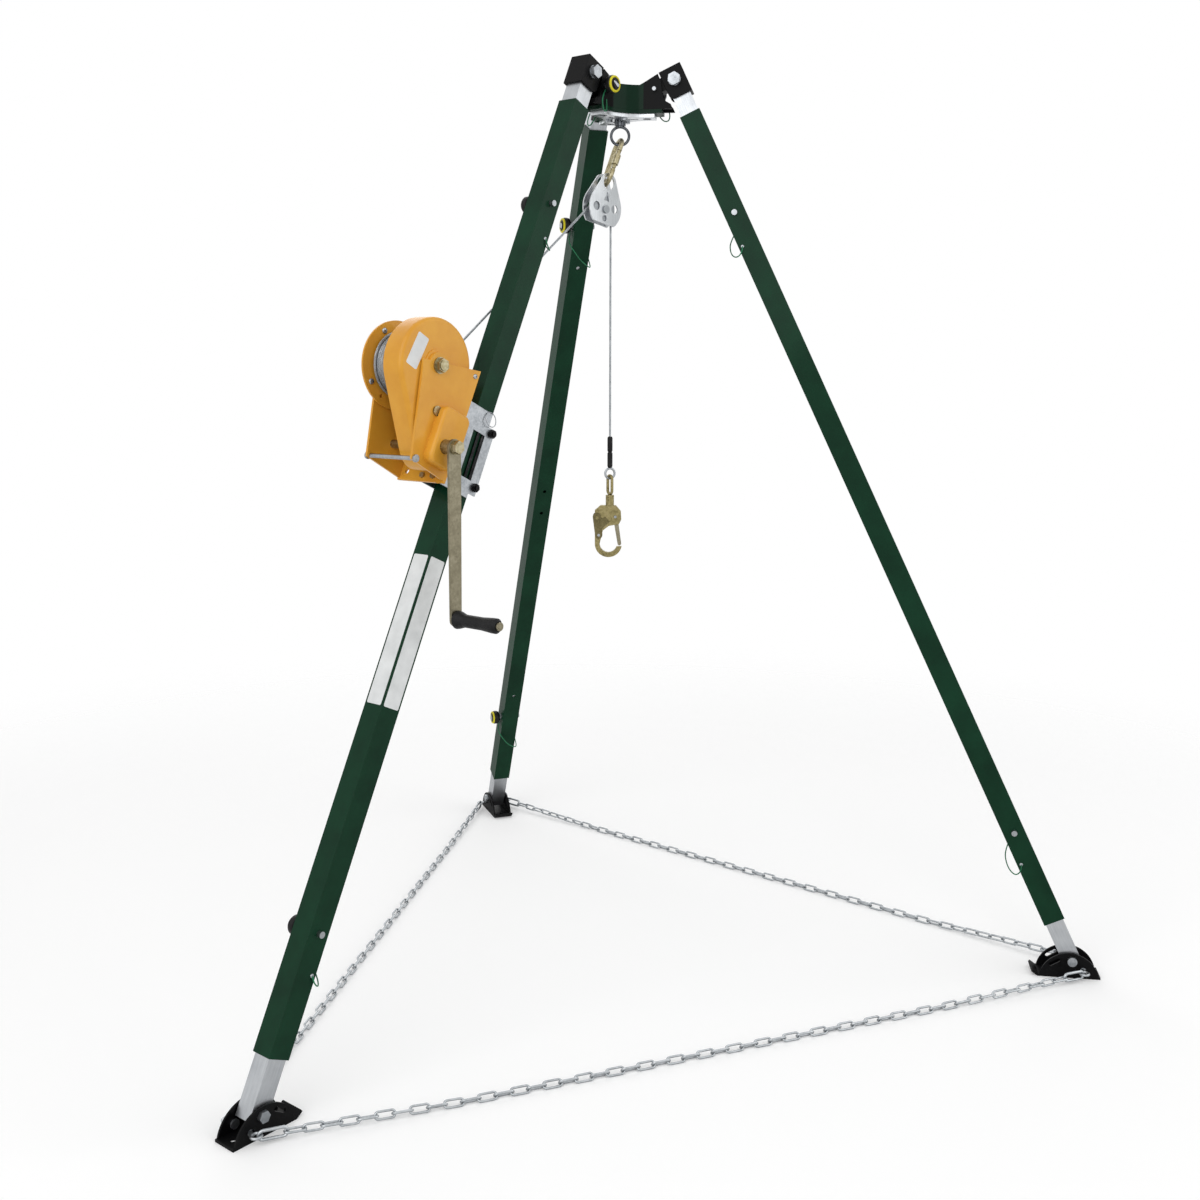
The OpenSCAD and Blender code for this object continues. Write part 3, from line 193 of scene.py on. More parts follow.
# Zinc plating: small crystal patches of slightly different grey, or of gold and olive where it is passivated
def platedSteel(name, tones, rough, patch):
    mat, tree, shader, place = newMaterial(name)
    cells = put(tree, "ShaderNodeTexVoronoi", {"Scale": 1 / patch}, {"Vector": place})
    cloud = put(tree, "ShaderNodeTexNoise", {"Scale": 45, "Detail": 5, "Roughness": 0.65}, {"Vector": place})
    part = put(tree, "ShaderNodeMath", {1: 0.25}, {0: cells.outputs["Color"]}, operation="MULTIPLY")
    both = put(tree, "ShaderNodeMath", {1: 0.75}, {0: cloud.outputs["Fac"], 2: part.outputs["Value"]},
               operation="MULTIPLY_ADD")
    steps = [(0.25 + 0.5 * k / (len(tones) - 1), tone) for k, tone in enumerate(tones)]
    put(tree, "ShaderNodeValToRGB", links={"Fac": both.outputs["Value"]}, stops=steps,
        to=shader.inputs["Base Color"])
    put(tree, "ShaderNodeValToRGB", links={"Fac": cloud.outputs["Fac"]},
        stops=((0.3, rough + 0.1), (0.7, rough - 0.06)), to=shader.inputs["Roughness"])
    put(tree, "ShaderNodeBump", {"Strength": 0.1, "Distance": 0.0003}, {"Height": cloud.outputs["Fac"]},
        to=shader.inputs["Normal"])
    shader.inputs["Metallic"].default_value = 1
    return mat


# Moulded plastic: a fine spark-eroded grain that breaks up the gloss
def mouldedPlastic(name, dark, light, rough, grain=0.0012):
    mat, tree, shader, place = newMaterial(name)
    pits = put(tree, "ShaderNodeTexNoise", {"Scale": 1 / grain, "Detail": 3}, {"Vector": place})
    cloud = put(tree, "ShaderNodeTexNoise", {"Scale": 30, "Detail": 3}, {"Vector": place})
    put(tree, "ShaderNodeValToRGB", links={"Fac": cloud.outputs["Fac"]}, stops=((0.3, dark), (0.7, light)),
        to=shader.inputs["Base Color"])
    put(tree, "ShaderNodeValToRGB", links={"Fac": pits.outputs["Fac"]},
        stops=((0.3, rough - 0.06), (0.7, rough + 0.08)), to=shader.inputs["Roughness"])
    put(tree, "ShaderNodeBump", {"Strength": 0.15, "Distance": 0.0004}, {"Height": pits.outputs["Fac"]},
        to=shader.inputs["Normal"])
    shader.inputs["Specular IOR Level"].default_value = 0.2
    return mat


lean = math.radians(tripod["lean"])
alongLeg = [(0, -lean, math.radians(a)) for a in tripod["legAngles"]]
greenCoat = powderCoat("green powder coat", "072a1a", "0d3723", 0.42, 0.12, 0.05)
# Corner coat: a paler green than the tube's coat, which is a painted highlight on the eased corners, plus a glossier
# coat that catches the lamps
cornerHighlightCoat = powderCoat("green powder coat with painted highlight at the corners", "0b3220", "134029", 0.3, 1, 0.3)
headCoat = powderCoat("dark green powder coat", "071f14", "0b2a1b", 0.42, 0.1, 0.05)
blackCoat = powderCoat("black powder coat", "060607", "0d0d0e", 0.48, 0.03, 0.08)
yellowCoat = powderCoat("orange yellow powder coat", "d3922a", "dfa338", 0.38, 0.25, 0.2)
tubeMetal = [brushedMetal("drawn aluminium " + n, "a3a6aa", "c2c5c8", 0.36, turn)
             for n, turn in zip(legNames, alongLeg)]
sheetMetal = brushedMetal("brushed aluminium sheet", "b2b5b8", "d4d7da", 0.3, stretch=(1, 1, 0.03), grain=700)
zincSteel = platedSteel("bright zinc plated steel", ("85898d", "9ea2a6", "b2b5b8"), 0.34, 0.003)
chainZinc = platedSteel("zinc plated chain wire", ("999da1", "aeb2b5", "c2c5c8"), 0.36, 0.004)
goldZinc = platedSteel("yellow passivated zinc", ("766c4c", "928868", "aaa286", "9a9078"), 0.35, 0.0035)
oliveZinc = platedSteel("olive passivated zinc", ("625a3c", "7f7550", "958a62", "8a7c60"), 0.36, 0.0035)
lockZinc = platedSteel("dark olive zinc", ("4e4830", "655d40", "7a7050"), 0.38, 0.003)
paleGold = platedSteel("faded yellow zinc", ("706a58", "827c68", "948e7a"), 0.38, 0.004)
darkSteel = platedSteel("blackened steel", ("141415", "232324", "363637"), 0.42, 0.003)
darkChrome = platedSteel("dark chrome plate", ("36383b", "505357", "6c6f73"), 0.24, 0.006)
turnedSteel = brushedMetal("turned steel", "85898d", "b0b3b6", 0.3, stretch=(0.05, 1, 1))
ropeSteel = platedSteel("galvanised rope wire", ("85898d", "a3a7aa", "bcbfc2"), 0.4, 0.0015)
knobPlastic = mouldedPlastic("black nylon knob", "0b0b0c", "161617", 0.45)
gripPlastic = mouldedPlastic("black PVC grip", "0e0e0f", "1a1a1b", 0.5)
ringPlastic = mouldedPlastic("yellow nylon ring", "c8bc1a", "dcd232", 0.4)
cordPlastic = mouldedPlastic("green coated lanyard", "1d5a3c", "2c7a54", 0.42)
sleevePlastic = mouldedPlastic("black shrink sleeve", "0d0d0e", "1c1c1d", 0.55)
filmWhite = mouldedPlastic("white vinyl film", "d4d6d6", "e6e8e8", 0.38)
print("materials made")


# Cords: the route is a list of points; a rope is six wires wound round it, a lanyard one coated wire
def smoothRoute(points, step):
    pts = [Vector(p) for p in points]
    out = []
    for k in range(len(pts) - 1):
        p0, p1, p2, p3 = pts[max(k - 1, 0)], pts[k], pts[k + 1], pts[min(k + 2, len(pts) - 1)]
        count = max(2, int((p2 - p1).length / step))
        for j in range(count):
            t = j / count
            out.append(0.5 * (2 * p1 + (p2 - p0) * t + (2 * p0 - 5 * p1 + 4 * p2 - p3) * t * t
                              + (3 * p1 - p0 - 3 * p2 + p3) * t ** 3))
    out.append(pts[-1])
    return out


def ringFrames(route):
    frames = []
    side = None
    for k, p in enumerate(route):
        d = (route[min(k + 1, len(route) - 1)] - route[max(k - 1, 0)]).normalized()
        if side is None:
            side = d.orthogonal().normalized()
        side = (side - d * side.dot(d)).normalized()
        frames.append((p, side.copy(), d.cross(side)))
    return frames


def wireMesh(name, splines, radius, sides, mat):
    curve = bpy.data.curves.new(name, "CURVE")
    curve.dimensions = "3D"
    curve.bevel_depth = radius
    curve.bevel_resolution = sides
    curve.use_fill_caps = True
    for line in splines:
        spline = curve.splines.new("POLY")
        spline.points.add(len(line) - 1)
        for q, p in zip(spline.points, line):
            q.co = (*p, 1)
    temp = bpy.data.objects.new(name, curve)
    scene.collection.objects.link(temp)
    bpy.context.view_layer.update()
    mesh = bpy.data.meshes.new_from_object(temp.evaluated_get(bpy.context.evaluated_depsgraph_get()))
    bpy.data.objects.remove(temp)
    bpy.data.curves.remove(curve)
    mesh.name = name
    obj = bpy.data.objects.new(name, mesh)
    scene.collection.objects.link(obj)
    mesh.materials.clear()
    mesh.materials.append(mat)
    for face in mesh.polygons:
        face.use_smooth = True
    return obj


rope = {"diameter": 0.0048, "strands": 6, "lay": 0.034, "rings": 9}


def wireRope(name, route):
    step = rope["lay"] / rope["rings"]
    strand = rope["diameter"] / 6
    even = [route[0]]
    for a, b in zip(route, route[1:]):
        count = max(1, round((b - a).length / step))
        even += [a.lerp(b, (j + 1) / count) for j in range(count)]
    run, turns = 0, []
    for k, p in enumerate(even):
        run += (p - even[k - 1]).length if k else 0
        turns.append(2 * math.pi * run / rope["lay"])
    frames = ringFrames(even)
    lines = []
    for s in range(rope["strands"]):
        lines.append([p + 2 * strand * (x * math.cos(a + math.pi * s / 3) + y * math.sin(a + math.pi * s / 3))
                      for (p, x, y), a in zip(frames, turns)])
    return wireMesh(name, lines, strand, 1, ropeSteel)


# Rope route: second-layer turn on the drum, straight to the sheave, over it and down to the ferrules
reel = {"n": 0.163, "down": -0.735, "windR": 0.0555, "leadR": 0.0608, "leadT": -0.060, "leadTurn": 204.659,
        "windL": -0.069, "pitch": 0.00525, "loops": 9, "steps": 40, "windTurn": 20, "flangeGap": 0.001,
        "topTurn": 330, "topDrift": -0.0045}
lift = {"az": -156.362, "sheaveOut": 0.054, "sheaveZ": 1.62913, "sheaveR": 0.0264, "meet": 49.9785,
        "leadX": 0.541452, "leadZ": 1.25427, "ferruleZ": 1.14913, "wrapSteps": 12}


def ropePlane(rho, z):
    a = math.radians(lift["az"])
    return Vector((rho * math.cos(a), tripod["middleY"] + rho * math.sin(a), z))


def drumPoint(r, angle, t):
    a = math.radians(angle)
    return legPoint(0, reel["n"] + r * math.cos(a), t, reel["down"] + r * math.sin(a))


leadStart = ropePlane(lift["leadX"], lift["leadZ"])
wrap = [lift["meet"] + (180 - lift["meet"]) * k / lift["wrapSteps"] for k in range(lift["wrapSteps"] + 1)]
overSheave = [ropePlane(lift["sheaveOut"] + lift["sheaveR"] * math.cos(math.radians(a)),
                        lift["sheaveZ"] + lift["sheaveR"] * math.sin(math.radians(a))) for a in wrap]
fallTop = overSheave[-1]
ferrule = Vector((fallTop.x, fallTop.y, lift["ferruleZ"]))

# Past the sheave, short lengths hand the rope from body to body, so that it follows the pulley, the swivel and the
# leg; each is cut at a count of strand spacings from the sheave, where the strands line up again
handOver = {"leadTurns": (6, 12, 18, 54), "fallTurns": (6, 12, 18),
            "lead": ("pulley", "carabiner", "swivel", "head", "winch_leg_upper", "winch_leg_outer"),
            "fall": ("pulley", "carabiner", "swivel", "head", "rope_end")}


def ropeRun(name, start, end, turns, bodies):
    step = rope["lay"] / rope["strands"]
    way = (end - start).normalized()
    cuts = [start] + [start + way * step * k for k in turns] + [end]
    for k, (a, b) in enumerate(zip(cuts, cuts[1:])):
        piece = wireRope(name + "_" + str(k), [a, b])
        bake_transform(piece, bodies[k], bodies[k + 1], start=tuple(a), end=tuple(b))
        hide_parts(name)
        tuple(a)


ropeRun("rope_lead", overSheave[0], leadStart, handOver["leadTurns"], handOver["lead"])
ropeRun("rope_fall", fallTop, ferrule, handOver["fallTurns"], handOver["fall"])
ropeWrap = wireRope("rope_on_sheave", overSheave)
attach(ropeWrap, "pulley")
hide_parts("rope_lead")

windRoute = [drumPoint(reel["windR"], reel["leadTurn"] + reel["windTurn"] + 360 * k / reel["steps"],
                       reel["windL"] + reel["flangeGap"] + rope["diameter"] / 2 + reel["pitch"] * k / reel["steps"])
             for k in range(reel["steps"] * reel["loops"] + 1)]
winding = wireRope("rope_on_drum", windRoute)
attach(winding, "drum")
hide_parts("rope_winding")
topTurn = [drumPoint(reel["leadR"], reel["leadTurn"] + a, reel["leadT"] + reel["topDrift"] * a / reel["topTurn"])
           for a in range(0, reel["topTurn"] + 1, 10)]
topTurn += [drumPoint(reel["leadR"] - rope["diameter"] / 2, reel["leadTurn"] + reel["topTurn"] + 8,
                      reel["leadT"] + reel["topDrift"] - 0.0002)]   # its tail dips between the loops below
secondLayer = wireRope("rope_top_turn", topTurn)
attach(secondLayer, "drum")
print("rope laid")

# Lanyards: from a knob's eye down and round to a rivet on the leg, or in a small loop back to the head
lanyard = {"diameter": 0.0026, "tie": -0.0109, "face": 0.0225, "headTie": -0.0089, "halfW": 0.0245, "lockAt": -0.046,
           "rivetN": -0.014, "rivetDrop": 0.060, "step": 0.003}
tieU, face, headTie, halfW = lanyard["tie"], lanyard["face"], lanyard["headTie"], lanyard["halfW"]
legLoop = [(0, face + 0.0025, tieU), (-0.003, face + 0.0027, tieU - 0.008), (-0.010, face + 0.006, tieU - 0.017),
           (-0.024, face + 0.005, tieU - 0.028), (-0.036, face - 0.005, tieU - 0.041), (-0.041, 0.006, tieU - 0.054),
           (-0.041, -0.009, tieU - 0.066), (-0.036, -face + 0.001, tieU - 0.074), (-0.028, -face - 0.004, tieU - 0.075),
           (-0.019, -face - 0.004, tieU - 0.069), (lanyard["rivetN"], -face - 0.0015, tieU - lanyard["rivetDrop"])]
headLoop = [(0, halfW + 0.0025, headTie), (0.002, halfW + 0.0027, headTie - 0.009),
            (0.005, halfW + 0.006, headTie - 0.019), (0.007, halfW + 0.009, headTie - 0.031),
            (0.004, halfW + 0.012, headTie - 0.043),
            (-0.003, halfW + 0.012, headTie - 0.050), (-0.011, halfW + 0.010, headTie - 0.047),
            (-0.015, halfW + 0.006, headTie - 0.037), (-0.014, halfW + 0.003, headTie - 0.027),
            (-0.011, halfW + 0.0015, headTie - 0.018)]


def hangLanyard(name, points, fixedBody, pinBody, node):
    route = smoothRoute(points, lanyard["step"])
    obj = wireMesh(name, [route], lanyard["diameter"] / 2, 2, cordPlastic)
    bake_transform(obj, fixedBody, pinBody, start=tuple(route[-1]), end=tuple(route[0]))
    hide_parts(node)


for i, leg in enumerate(legNames):
    flip = tripod["knobSides"][i]
    for pin in ("upper", "lower"):
        at = tripod[pin + "Pin"]
        points = [legPoint(i, n, t * flip, at + u) for n, t, u in legLoop]
        hangLanyard(leg + "_" + pin + "_lanyard", points, leg + "_outer", leg + "_" + pin + "_pin", leg + "_lanyards")
    points = [legPoint(i, lanyard["lockAt"] + n, t, u) for n, t, u in headLoop]
    hangLanyard(leg + "_head_lanyard", points, "head", leg + "_head_pin", "head_lanyards")
print("lanyards hung")


# Rounded copies of the solids: same shape with the edges eased as on the real piece
winchPlace = legMatrix(0) @ Matrix.Translation((0, 0, reel["down"]))


merge = {"copies": 0.00001, "turned": 0.00002, "flat": 0.6}   # metres, metres, degrees


def mergedCopy(node):
    bm = bmesh.new()
    bm.from_mesh(nodes[node].data)
    bmesh.ops.remove_doubles(bm, verts=bm.verts, dist=merge["copies"])
    bmesh.ops.dissolve_limit(bm, angle_limit=math.radians(merge["flat"]), verts=bm.verts, edges=bm.edges)
    return bm


def finishPiece(name, bm, mats, body, replaced=None, smooth=32):
    mesh = bpy.data.meshes.new(name)
    for edge in bm.edges:
        edge.smooth = len(edge.link_faces) == 2 and edge.calc_face_angle(0) < math.radians(smooth)
    for part in bm.faces:
        part.smooth = True
    bm.to_mesh(mesh)
    bm.free()
    for mat in mats:
        mesh.materials.append(mat)
    obj = bpy.data.objects.new(name, mesh)
    scene.collection.objects.link(obj)
    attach(obj, body)
    if replaced:
        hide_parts(replaced)
    return obj


def easeEdges(obj, width, segments=2, angle=34, edgeMat=-1):
    bevel = obj.modifiers.new("edges", "BEVEL")
    bevel.material = edgeMat
    bevel.width = width
    bevel.segments = segments
    bevel.limit_method = "ANGLE"
    bevel.angle_limit = math.radians(angle)
    bevel.harden_normals = True
    return obj


def easedCopy(node, mats, width, segments=2, paint=None, place=None, edgeMat=-1):
    bm = mergedCopy(node)
    if paint:
        back = place.inverted()
        for part in bm.faces:
            part.material_index = paint(back @ part.calc_center_median())
    obj = finishPiece(node + "_eased", bm, mats, body_of(nodes[node])[0], node)
    return easeEdges(obj, width, segments, edgeMat=edgeMat)


def dress(node, mats, paint=None, place=None):
    mesh = nodes[node].data
    mesh.materials.clear()
    for mat in mats:
        mesh.materials.append(mat)
    if paint:
        back = place.inverted()
        for part in mesh.polygons:
            part.material_index = paint(back @ part.center)


def turnedPiece(name, profile, mats, body, place, steps=24):
    bm = bmesh.new()
    verts = [bm.verts.new((r, 0, z)) for r, z in profile]
    edges = [bm.edges.new(pair) for pair in zip(verts, verts[1:])]
    bmesh.ops.spin(bm, geom=verts + edges, cent=(0, 0, 0), axis=(0, 0, 1), angle=2 * math.pi, steps=steps,
                   use_merge=True)
    bmesh.ops.remove_doubles(bm, verts=bm.verts, dist=merge["turned"])
    bmesh.ops.recalc_face_normals(bm, faces=bm.faces)
    bmesh.ops.transform(bm, matrix=place, verts=bm.verts)
    return finishPiece(name, bm, mats, body, smooth=40)


def ringPiece(name, major, minor, mats, body, place, steps=40):
    bm = bmesh.new()
    bmesh.ops.create_circle(bm, segments=14, radius=minor)
    upright = Matrix.Translation((major, 0, 0)) @ Matrix.Rotation(math.pi / 2, 4, "X")
    bmesh.ops.transform(bm, matrix=upright, verts=bm.verts)
    bmesh.ops.spin(bm, geom=bm.verts[:] + bm.edges[:], cent=(0, 0, 0), axis=(0, 0, 1), angle=2 * math.pi,
                   steps=steps, use_merge=True)
    bmesh.ops.remove_doubles(bm, verts=bm.verts, dist=merge["turned"])
    bmesh.ops.recalc_face_normals(bm, faces=bm.faces)
    bmesh.ops.transform(bm, matrix=place, verts=bm.verts)
    return finishPiece(name, bm, mats, body, smooth=60)


acrossPlus = Matrix.Rotation(-math.pi / 2, 4, "X")   # turns a piece's own z to +t
acrossMinus = Matrix.Rotation(math.pi / 2, 4, "X")   # and to -t
panHead = [(0, 0.0007), (0.0011, 0.0007), (0.0012, 0.0021), (0.0026, 0.0019), (0.0036, 0.001), (0.0038, 0)]

# Legs: square tubes with drawn corners, the black blocks and the feet with their grey bolts
legEdges = {"outer_tube": 0.0035, "upper_tube": 0.0025, "lower_tube": 0.0025, "block": 0.0018, "foot": 0.0008,
            "footCheek": 0.0257}
footPlace = [Matrix.Translation((0, tripod["middleY"], 0)) @ Matrix.Rotation(math.radians(a), 4, "Z")
             @ Matrix.Translation((tripod["footR"], 0, tripod["footH"])) for a in tripod["legAngles"]]
for i, leg in enumerate(legNames):
    # The outer tubes' bevel faces take the paler corner coat, a painted highlight along each corner
    easedCopy(leg + "_outer_tube", [greenCoat, cornerHighlightCoat], legEdges["outer_tube"], 3, edgeMat=1)
    easedCopy(leg + "_upper_tube", [tubeMetal[i]], legEdges["upper_tube"])
    easedCopy(leg + "_lower_tube", [tubeMetal[i]], legEdges["lower_tube"])
    easedCopy(leg + "_block", [blackCoat], legEdges["block"])
    easedCopy(leg + "_foot", [blackCoat, zincSteel], legEdges["foot"], place=footPlace[i],
              paint=lambda p: abs(p.y) > legEdges["footCheek"])
print("legs eased")

# Lock pins: steel shank and collar, black knob; the head pins and the back leg's pins have a yellow release ring
pinSizes = {"leg": (0.006, 0.0225), "head": (0.004, 0.0245), "knobH": 0.020, "collarH": 0.005, "collarW": 0.003,
            "near": 0.0002, "ringR": 0.0145, "ringWire": 0.0026, "ringSink": 0.0025}


def pinPaint(radius, seat):
    near = pinSizes["near"]

    def paint(p):
        out = math.hypot(p.x, p.z)
        if out < radius + near:
            return 1
        return 2 if p.y < seat + pinSizes["collarH"] + near and out < radius + pinSizes["collarW"] + near else 0
    return paint


for i, leg in enumerate(legNames):
    for pin in ("upper", "lower", "head"):
        radius, seat = pinSizes["head" if pin == "head" else "leg"]
        side = 1 if pin == "head" else tripod["knobSides"][i]
        spot = (lanyard["lockAt"], 0, 0) if pin == "head" else (0, 0, tripod[pin + "Pin"])
        at = Matrix.Translation(spot)
        place = legMatrix(i) @ at @ Matrix.Scale(side, 4, (0, 1, 0))
        dress(leg + "_" + pin + "_pin", [knobPlastic, turnedSteel, zincSteel], pinPaint(radius, seat), place)
        if pin == "head" or leg == "back_leg":
            ringT = side * (seat + pinSizes["collarH"] + pinSizes["knobH"] - pinSizes["ringSink"])
            ringPlace = legMatrix(i) @ at @ Matrix.Translation((0, ringT, 0)) @ acrossPlus
            ringPiece(leg + "_" + pin + "_ring", pinSizes["ringR"], pinSizes["ringWire"], [ringPlastic],
                      leg + "_" + pin + "_pin", ringPlace)
        if pin != "head":
            fixed = legMatrix(i) @ at @ Matrix.Translation((lanyard["rivetN"], -side * face,
                                                            tieU - lanyard["rivetDrop"]))
            turnedPiece(leg + "_" + pin + "_rivet", panHead, [zincSteel], leg + "_outer",
                        fixed @ (acrossMinus if side > 0 else acrossPlus))
print("pins dressed")

# Head: green bent plates with black arms, bright bolts, slotted aluminium plate below
headSplit = {"armFrom": 0.053, "sideEdge": 0.0008, "deckEdge": 0.0012, "lugEdge": 0.001, "plateEdge": 0.0008}
bm = mergedCopy("head_side_plates")
armAxes = [Vector((math.cos(math.radians(a)), math.sin(math.radians(a)), 0)) for a in tripod["legAngles"]]
middle = Vector((0, tripod["middleY"], 0))
for axis in armAxes:
    bmesh.ops.bisect_plane(bm, geom=bm.verts[:] + bm.edges[:] + bm.faces[:],
                           plane_co=middle + axis * headSplit["armFrom"], plane_no=axis)
for part in bm.faces:
    spot = part.calc_center_median() - middle
    part.material_index = int(any(spot.dot(axis) > headSplit["armFrom"] for axis in armAxes))
easeEdges(finishPiece("head_side_plates_eased", bm, [headCoat, blackCoat], "head",
                      "head_side_plates"), headSplit["sideEdge"])
easedCopy("head_deck", [headCoat], headSplit["deckEdge"])
easedCopy("pivot_lugs", [blackCoat], headSplit["lugEdge"])
easedCopy("anchor_plate", [sheetMetal], headSplit["plateEdge"])
dress("head_bolts", [zincSteel])
dress("swivel_eye", [darkChrome])
print("head dressed")

# Lifting line: gold carabiner, bright pulley, black sleeves on the rope's end and an olive gold hook
pulley = {"cheekEdge": 0.0007}
dress("carabiner", [goldZinc])
dress("carabiner_gate", [goldZinc])
easedCopy("pulley_cheeks", [sheetMetal], pulley["cheekEdge"])
dress("pulley_sheave", [turnedSteel])
dress("pulley_axle", [turnedSteel])
hookPlace = {"az": -21.3, "z": 0.882933, "rho": 0.0276, "pivots": ((0.012, 0.092), (-0.024, 0.052)),
             "rivetR": 0.0031, "bodyEdge": 0.0014, "gateEdge": 0.0007, "lockEdge": 0.0005, "sleeveEnd": 1.0815}
hookFrame = (Matrix.Translation(ropePlane(hookPlace["rho"], hookPlace["z"]))
             @ Matrix.Rotation(math.radians(hookPlace["az"]), 4, "Z"))
easedCopy("hook_body", [oliveZinc], hookPlace["bodyEdge"])


def rivetPaint(p):
    near = min(math.hypot(p.x - x, p.z - z) for x, z in hookPlace["pivots"])
    return int(near < hookPlace["rivetR"])


easedCopy("hook_gate", [paleGold, zincSteel], hookPlace["gateEdge"], paint=rivetPaint, place=hookFrame)
easedCopy("hook_lock", [lockZinc, zincSteel], hookPlace["lockEdge"], paint=rivetPaint, place=hookFrame)
dress("hook_eye", [oliveZinc])
dress("rope_end", [sleevePlastic, zincSteel], lambda p: int(p.z < hookPlace["sleeveEnd"]), Matrix.Identity(4))
print("lifting line dressed")

# Winch: orange yellow sheet metal; the cover's rim and the brake cover's edge are pressed round
winch = {"drum": (0.163, 0), "crank": (0.107, -0.136), "coverR": 0.088, "endR": 0.046, "coverT": 0.038, "rim": 0.009,
         "bumpT": 0.065, "bumpRim": 0.007, "hubR": 0.0145, "rod": (0.150, -0.177), "rodR": 0.009, "bracketN": -0.0305,
         "bracketBolts": 0.012, "gearT": -0.007, "frameEdge": 0.0012, "bracketEdge": 0.0006, "drumEdge": 0.0009,
         "armEdge": 0.0008, "rimIn": 0.001, "level": 0.0001, "sharp": 1}


def inBelt(p, shrink):
    a, b = Vector(winch["drum"]), Vector(winch["crank"])
    q = Vector((p.x, p.z))
    d = b - a
    along = d.normalized()
    side = (winch["coverR"] - winch["endR"]) / d.length
    w = (q - a).dot(along)
    h = abs((q - a).dot(Vector((-along.y, along.x))))
    slope = math.sqrt(1 - side * side)
    t = (w - h * side / slope) / d.length
    if t <= 0:
        reach = (q - a).length - winch["coverR"]
    elif t >= 1:
        reach = (q - b).length - winch["endR"]
    else:
        reach = h * slope + w * side - winch["coverR"]
    return reach < -shrink


def roundRim(node, level, offset, onRim, mats):
    bm = mergedCopy(node)
    back = winchPlace.inverted()
    rim = []
    for edge in bm.edges:
        ends = [back @ v.co for v in edge.verts]
        flat = all(abs(e.y - level) < winch["level"] for e in ends)
        if flat and onRim((ends[0] + ends[1]) / 2) and edge.calc_face_angle(0) > winch["sharp"]:
            rim.append(edge)
    bmesh.ops.bevel(bm, geom=rim, offset=offset, offset_type="OFFSET", segments=6, profile=0.5, affect="EDGES",
                    material=-1, clamp_overlap=False)
    finishPiece(node + "_pressed", bm, mats, body_of(nodes[node])[0], node, smooth=38)


roundRim("gear_cover", winch["coverT"], winch["rim"], lambda p: not inBelt(p, winch["rimIn"]), [yellowCoat])
crankSpot = Vector(winch["crank"])
roundRim("brake_cover", winch["bumpT"], winch["bumpRim"],
         lambda p: (Vector((p.x, p.z)) - crankSpot).length > winch["hubR"], [yellowCoat])
easedCopy("winch_frame", [yellowCoat], winch["frameEdge"])
easedCopy("winch_bracket", [zincSteel], winch["bracketEdge"])


def boltPaint(p):
    if p.x < winch["bracketN"] + winch["bracketBolts"]:
        return 1
    return 2 if math.hypot(p.x - winch["rod"][0], p.z - winch["rod"][1]) < winch["rodR"] else 0


dress("winch_bolts", [goldZinc, darkSteel, zincSteel], boltPaint, winchPlace)
easedCopy("drum", [yellowCoat, turnedSteel], winch["drumEdge"], paint=lambda p: int(p.y > winch["gearT"]),
          place=winchPlace)
for node in ("countershaft_gear", "ratchet_wheel", "pawl"):
    dress(node, [turnedSteel])
dress("crank_shaft", [goldZinc])
easedCopy("crank_arm", [paleGold], winch["armEdge"])
dress("crank_grip", [gripPlastic])

# Small fittings: screws in the drum's flange and the side plate, two clamp bars and a wire ring at the bracket
screws = {"ring": 0.070, "angles": (40, 130, 220, 310), "inT": -0.069, "drumGrow": 1.5, "plateGrow": 1.3,
          "plateAt": (0.072, 0.045, 0.020)}


def screwHead(grow):
    return [(r * grow, z * grow) for r, z in panHead]


for k, angle in enumerate(screws["angles"]):
    a = math.radians(angle)
    spot = (winch["drum"][0] + screws["ring"] * math.cos(a), screws["inT"], screws["ring"] * math.sin(a))
    turnedPiece("drum_screw_in_" + str(k), screwHead(screws["drumGrow"]), [zincSteel], "drum",
                winchPlace @ Matrix.Translation(spot) @ acrossPlus)
turnedPiece("plate_screw", screwHead(screws["plateGrow"]), [zincSteel], "winch_leg_outer",
            winchPlace @ Matrix.Translation(screws["plateAt"]) @ acrossPlus)
clamp = {"n": (0.0005, -0.0122), "t": 0.0242, "v": -0.110, "size": (0.0072, 0.0032, 0.091), "edge": 0.001,
         "ringR": 0.0145, "wire": 0.0009, "ringAt": (-0.016, 0.0285, -0.030), "ringTip": 0.25}
for k, n in enumerate(clamp["n"]):
    bm = bmesh.new()
    bmesh.ops.create_cube(bm, size=1)
    barPlace = winchPlace @ Matrix.Translation((n, clamp["t"], clamp["v"])) @ Matrix.Diagonal((*clamp["size"], 1))
    bmesh.ops.transform(bm, matrix=barPlace, verts=bm.verts)
    bmesh.ops.bevel(bm, geom=bm.edges[:], offset=clamp["edge"], offset_type="OFFSET", segments=2, profile=0.5,
                    affect="EDGES", material=-1)
    finishPiece("clamp_bar_" + str(k), bm, [darkSteel], "winch_leg_outer")
ringPiece("keeper_ring", clamp["ringR"], clamp["wire"], [zincSteel], "winch_leg_outer",
          winchPlace @ Matrix.Translation(clamp["ringAt"]) @ Matrix.Rotation(clamp["ringTip"], 4, "X") @ acrossPlus)
print("winch dressed")


# Plain white film on the winch leg's two front faces and on the gear cover, with nothing printed on it
film = {"from": -1.055, "to": -1.342, "width": 0.0375, "coverW": 0.028, "coverH": 0.064,
        "coverAt": (0.217, 0.038, 0.004), "coverTurn": -0.1, "corner": 0.003, "thick": 0.0003}


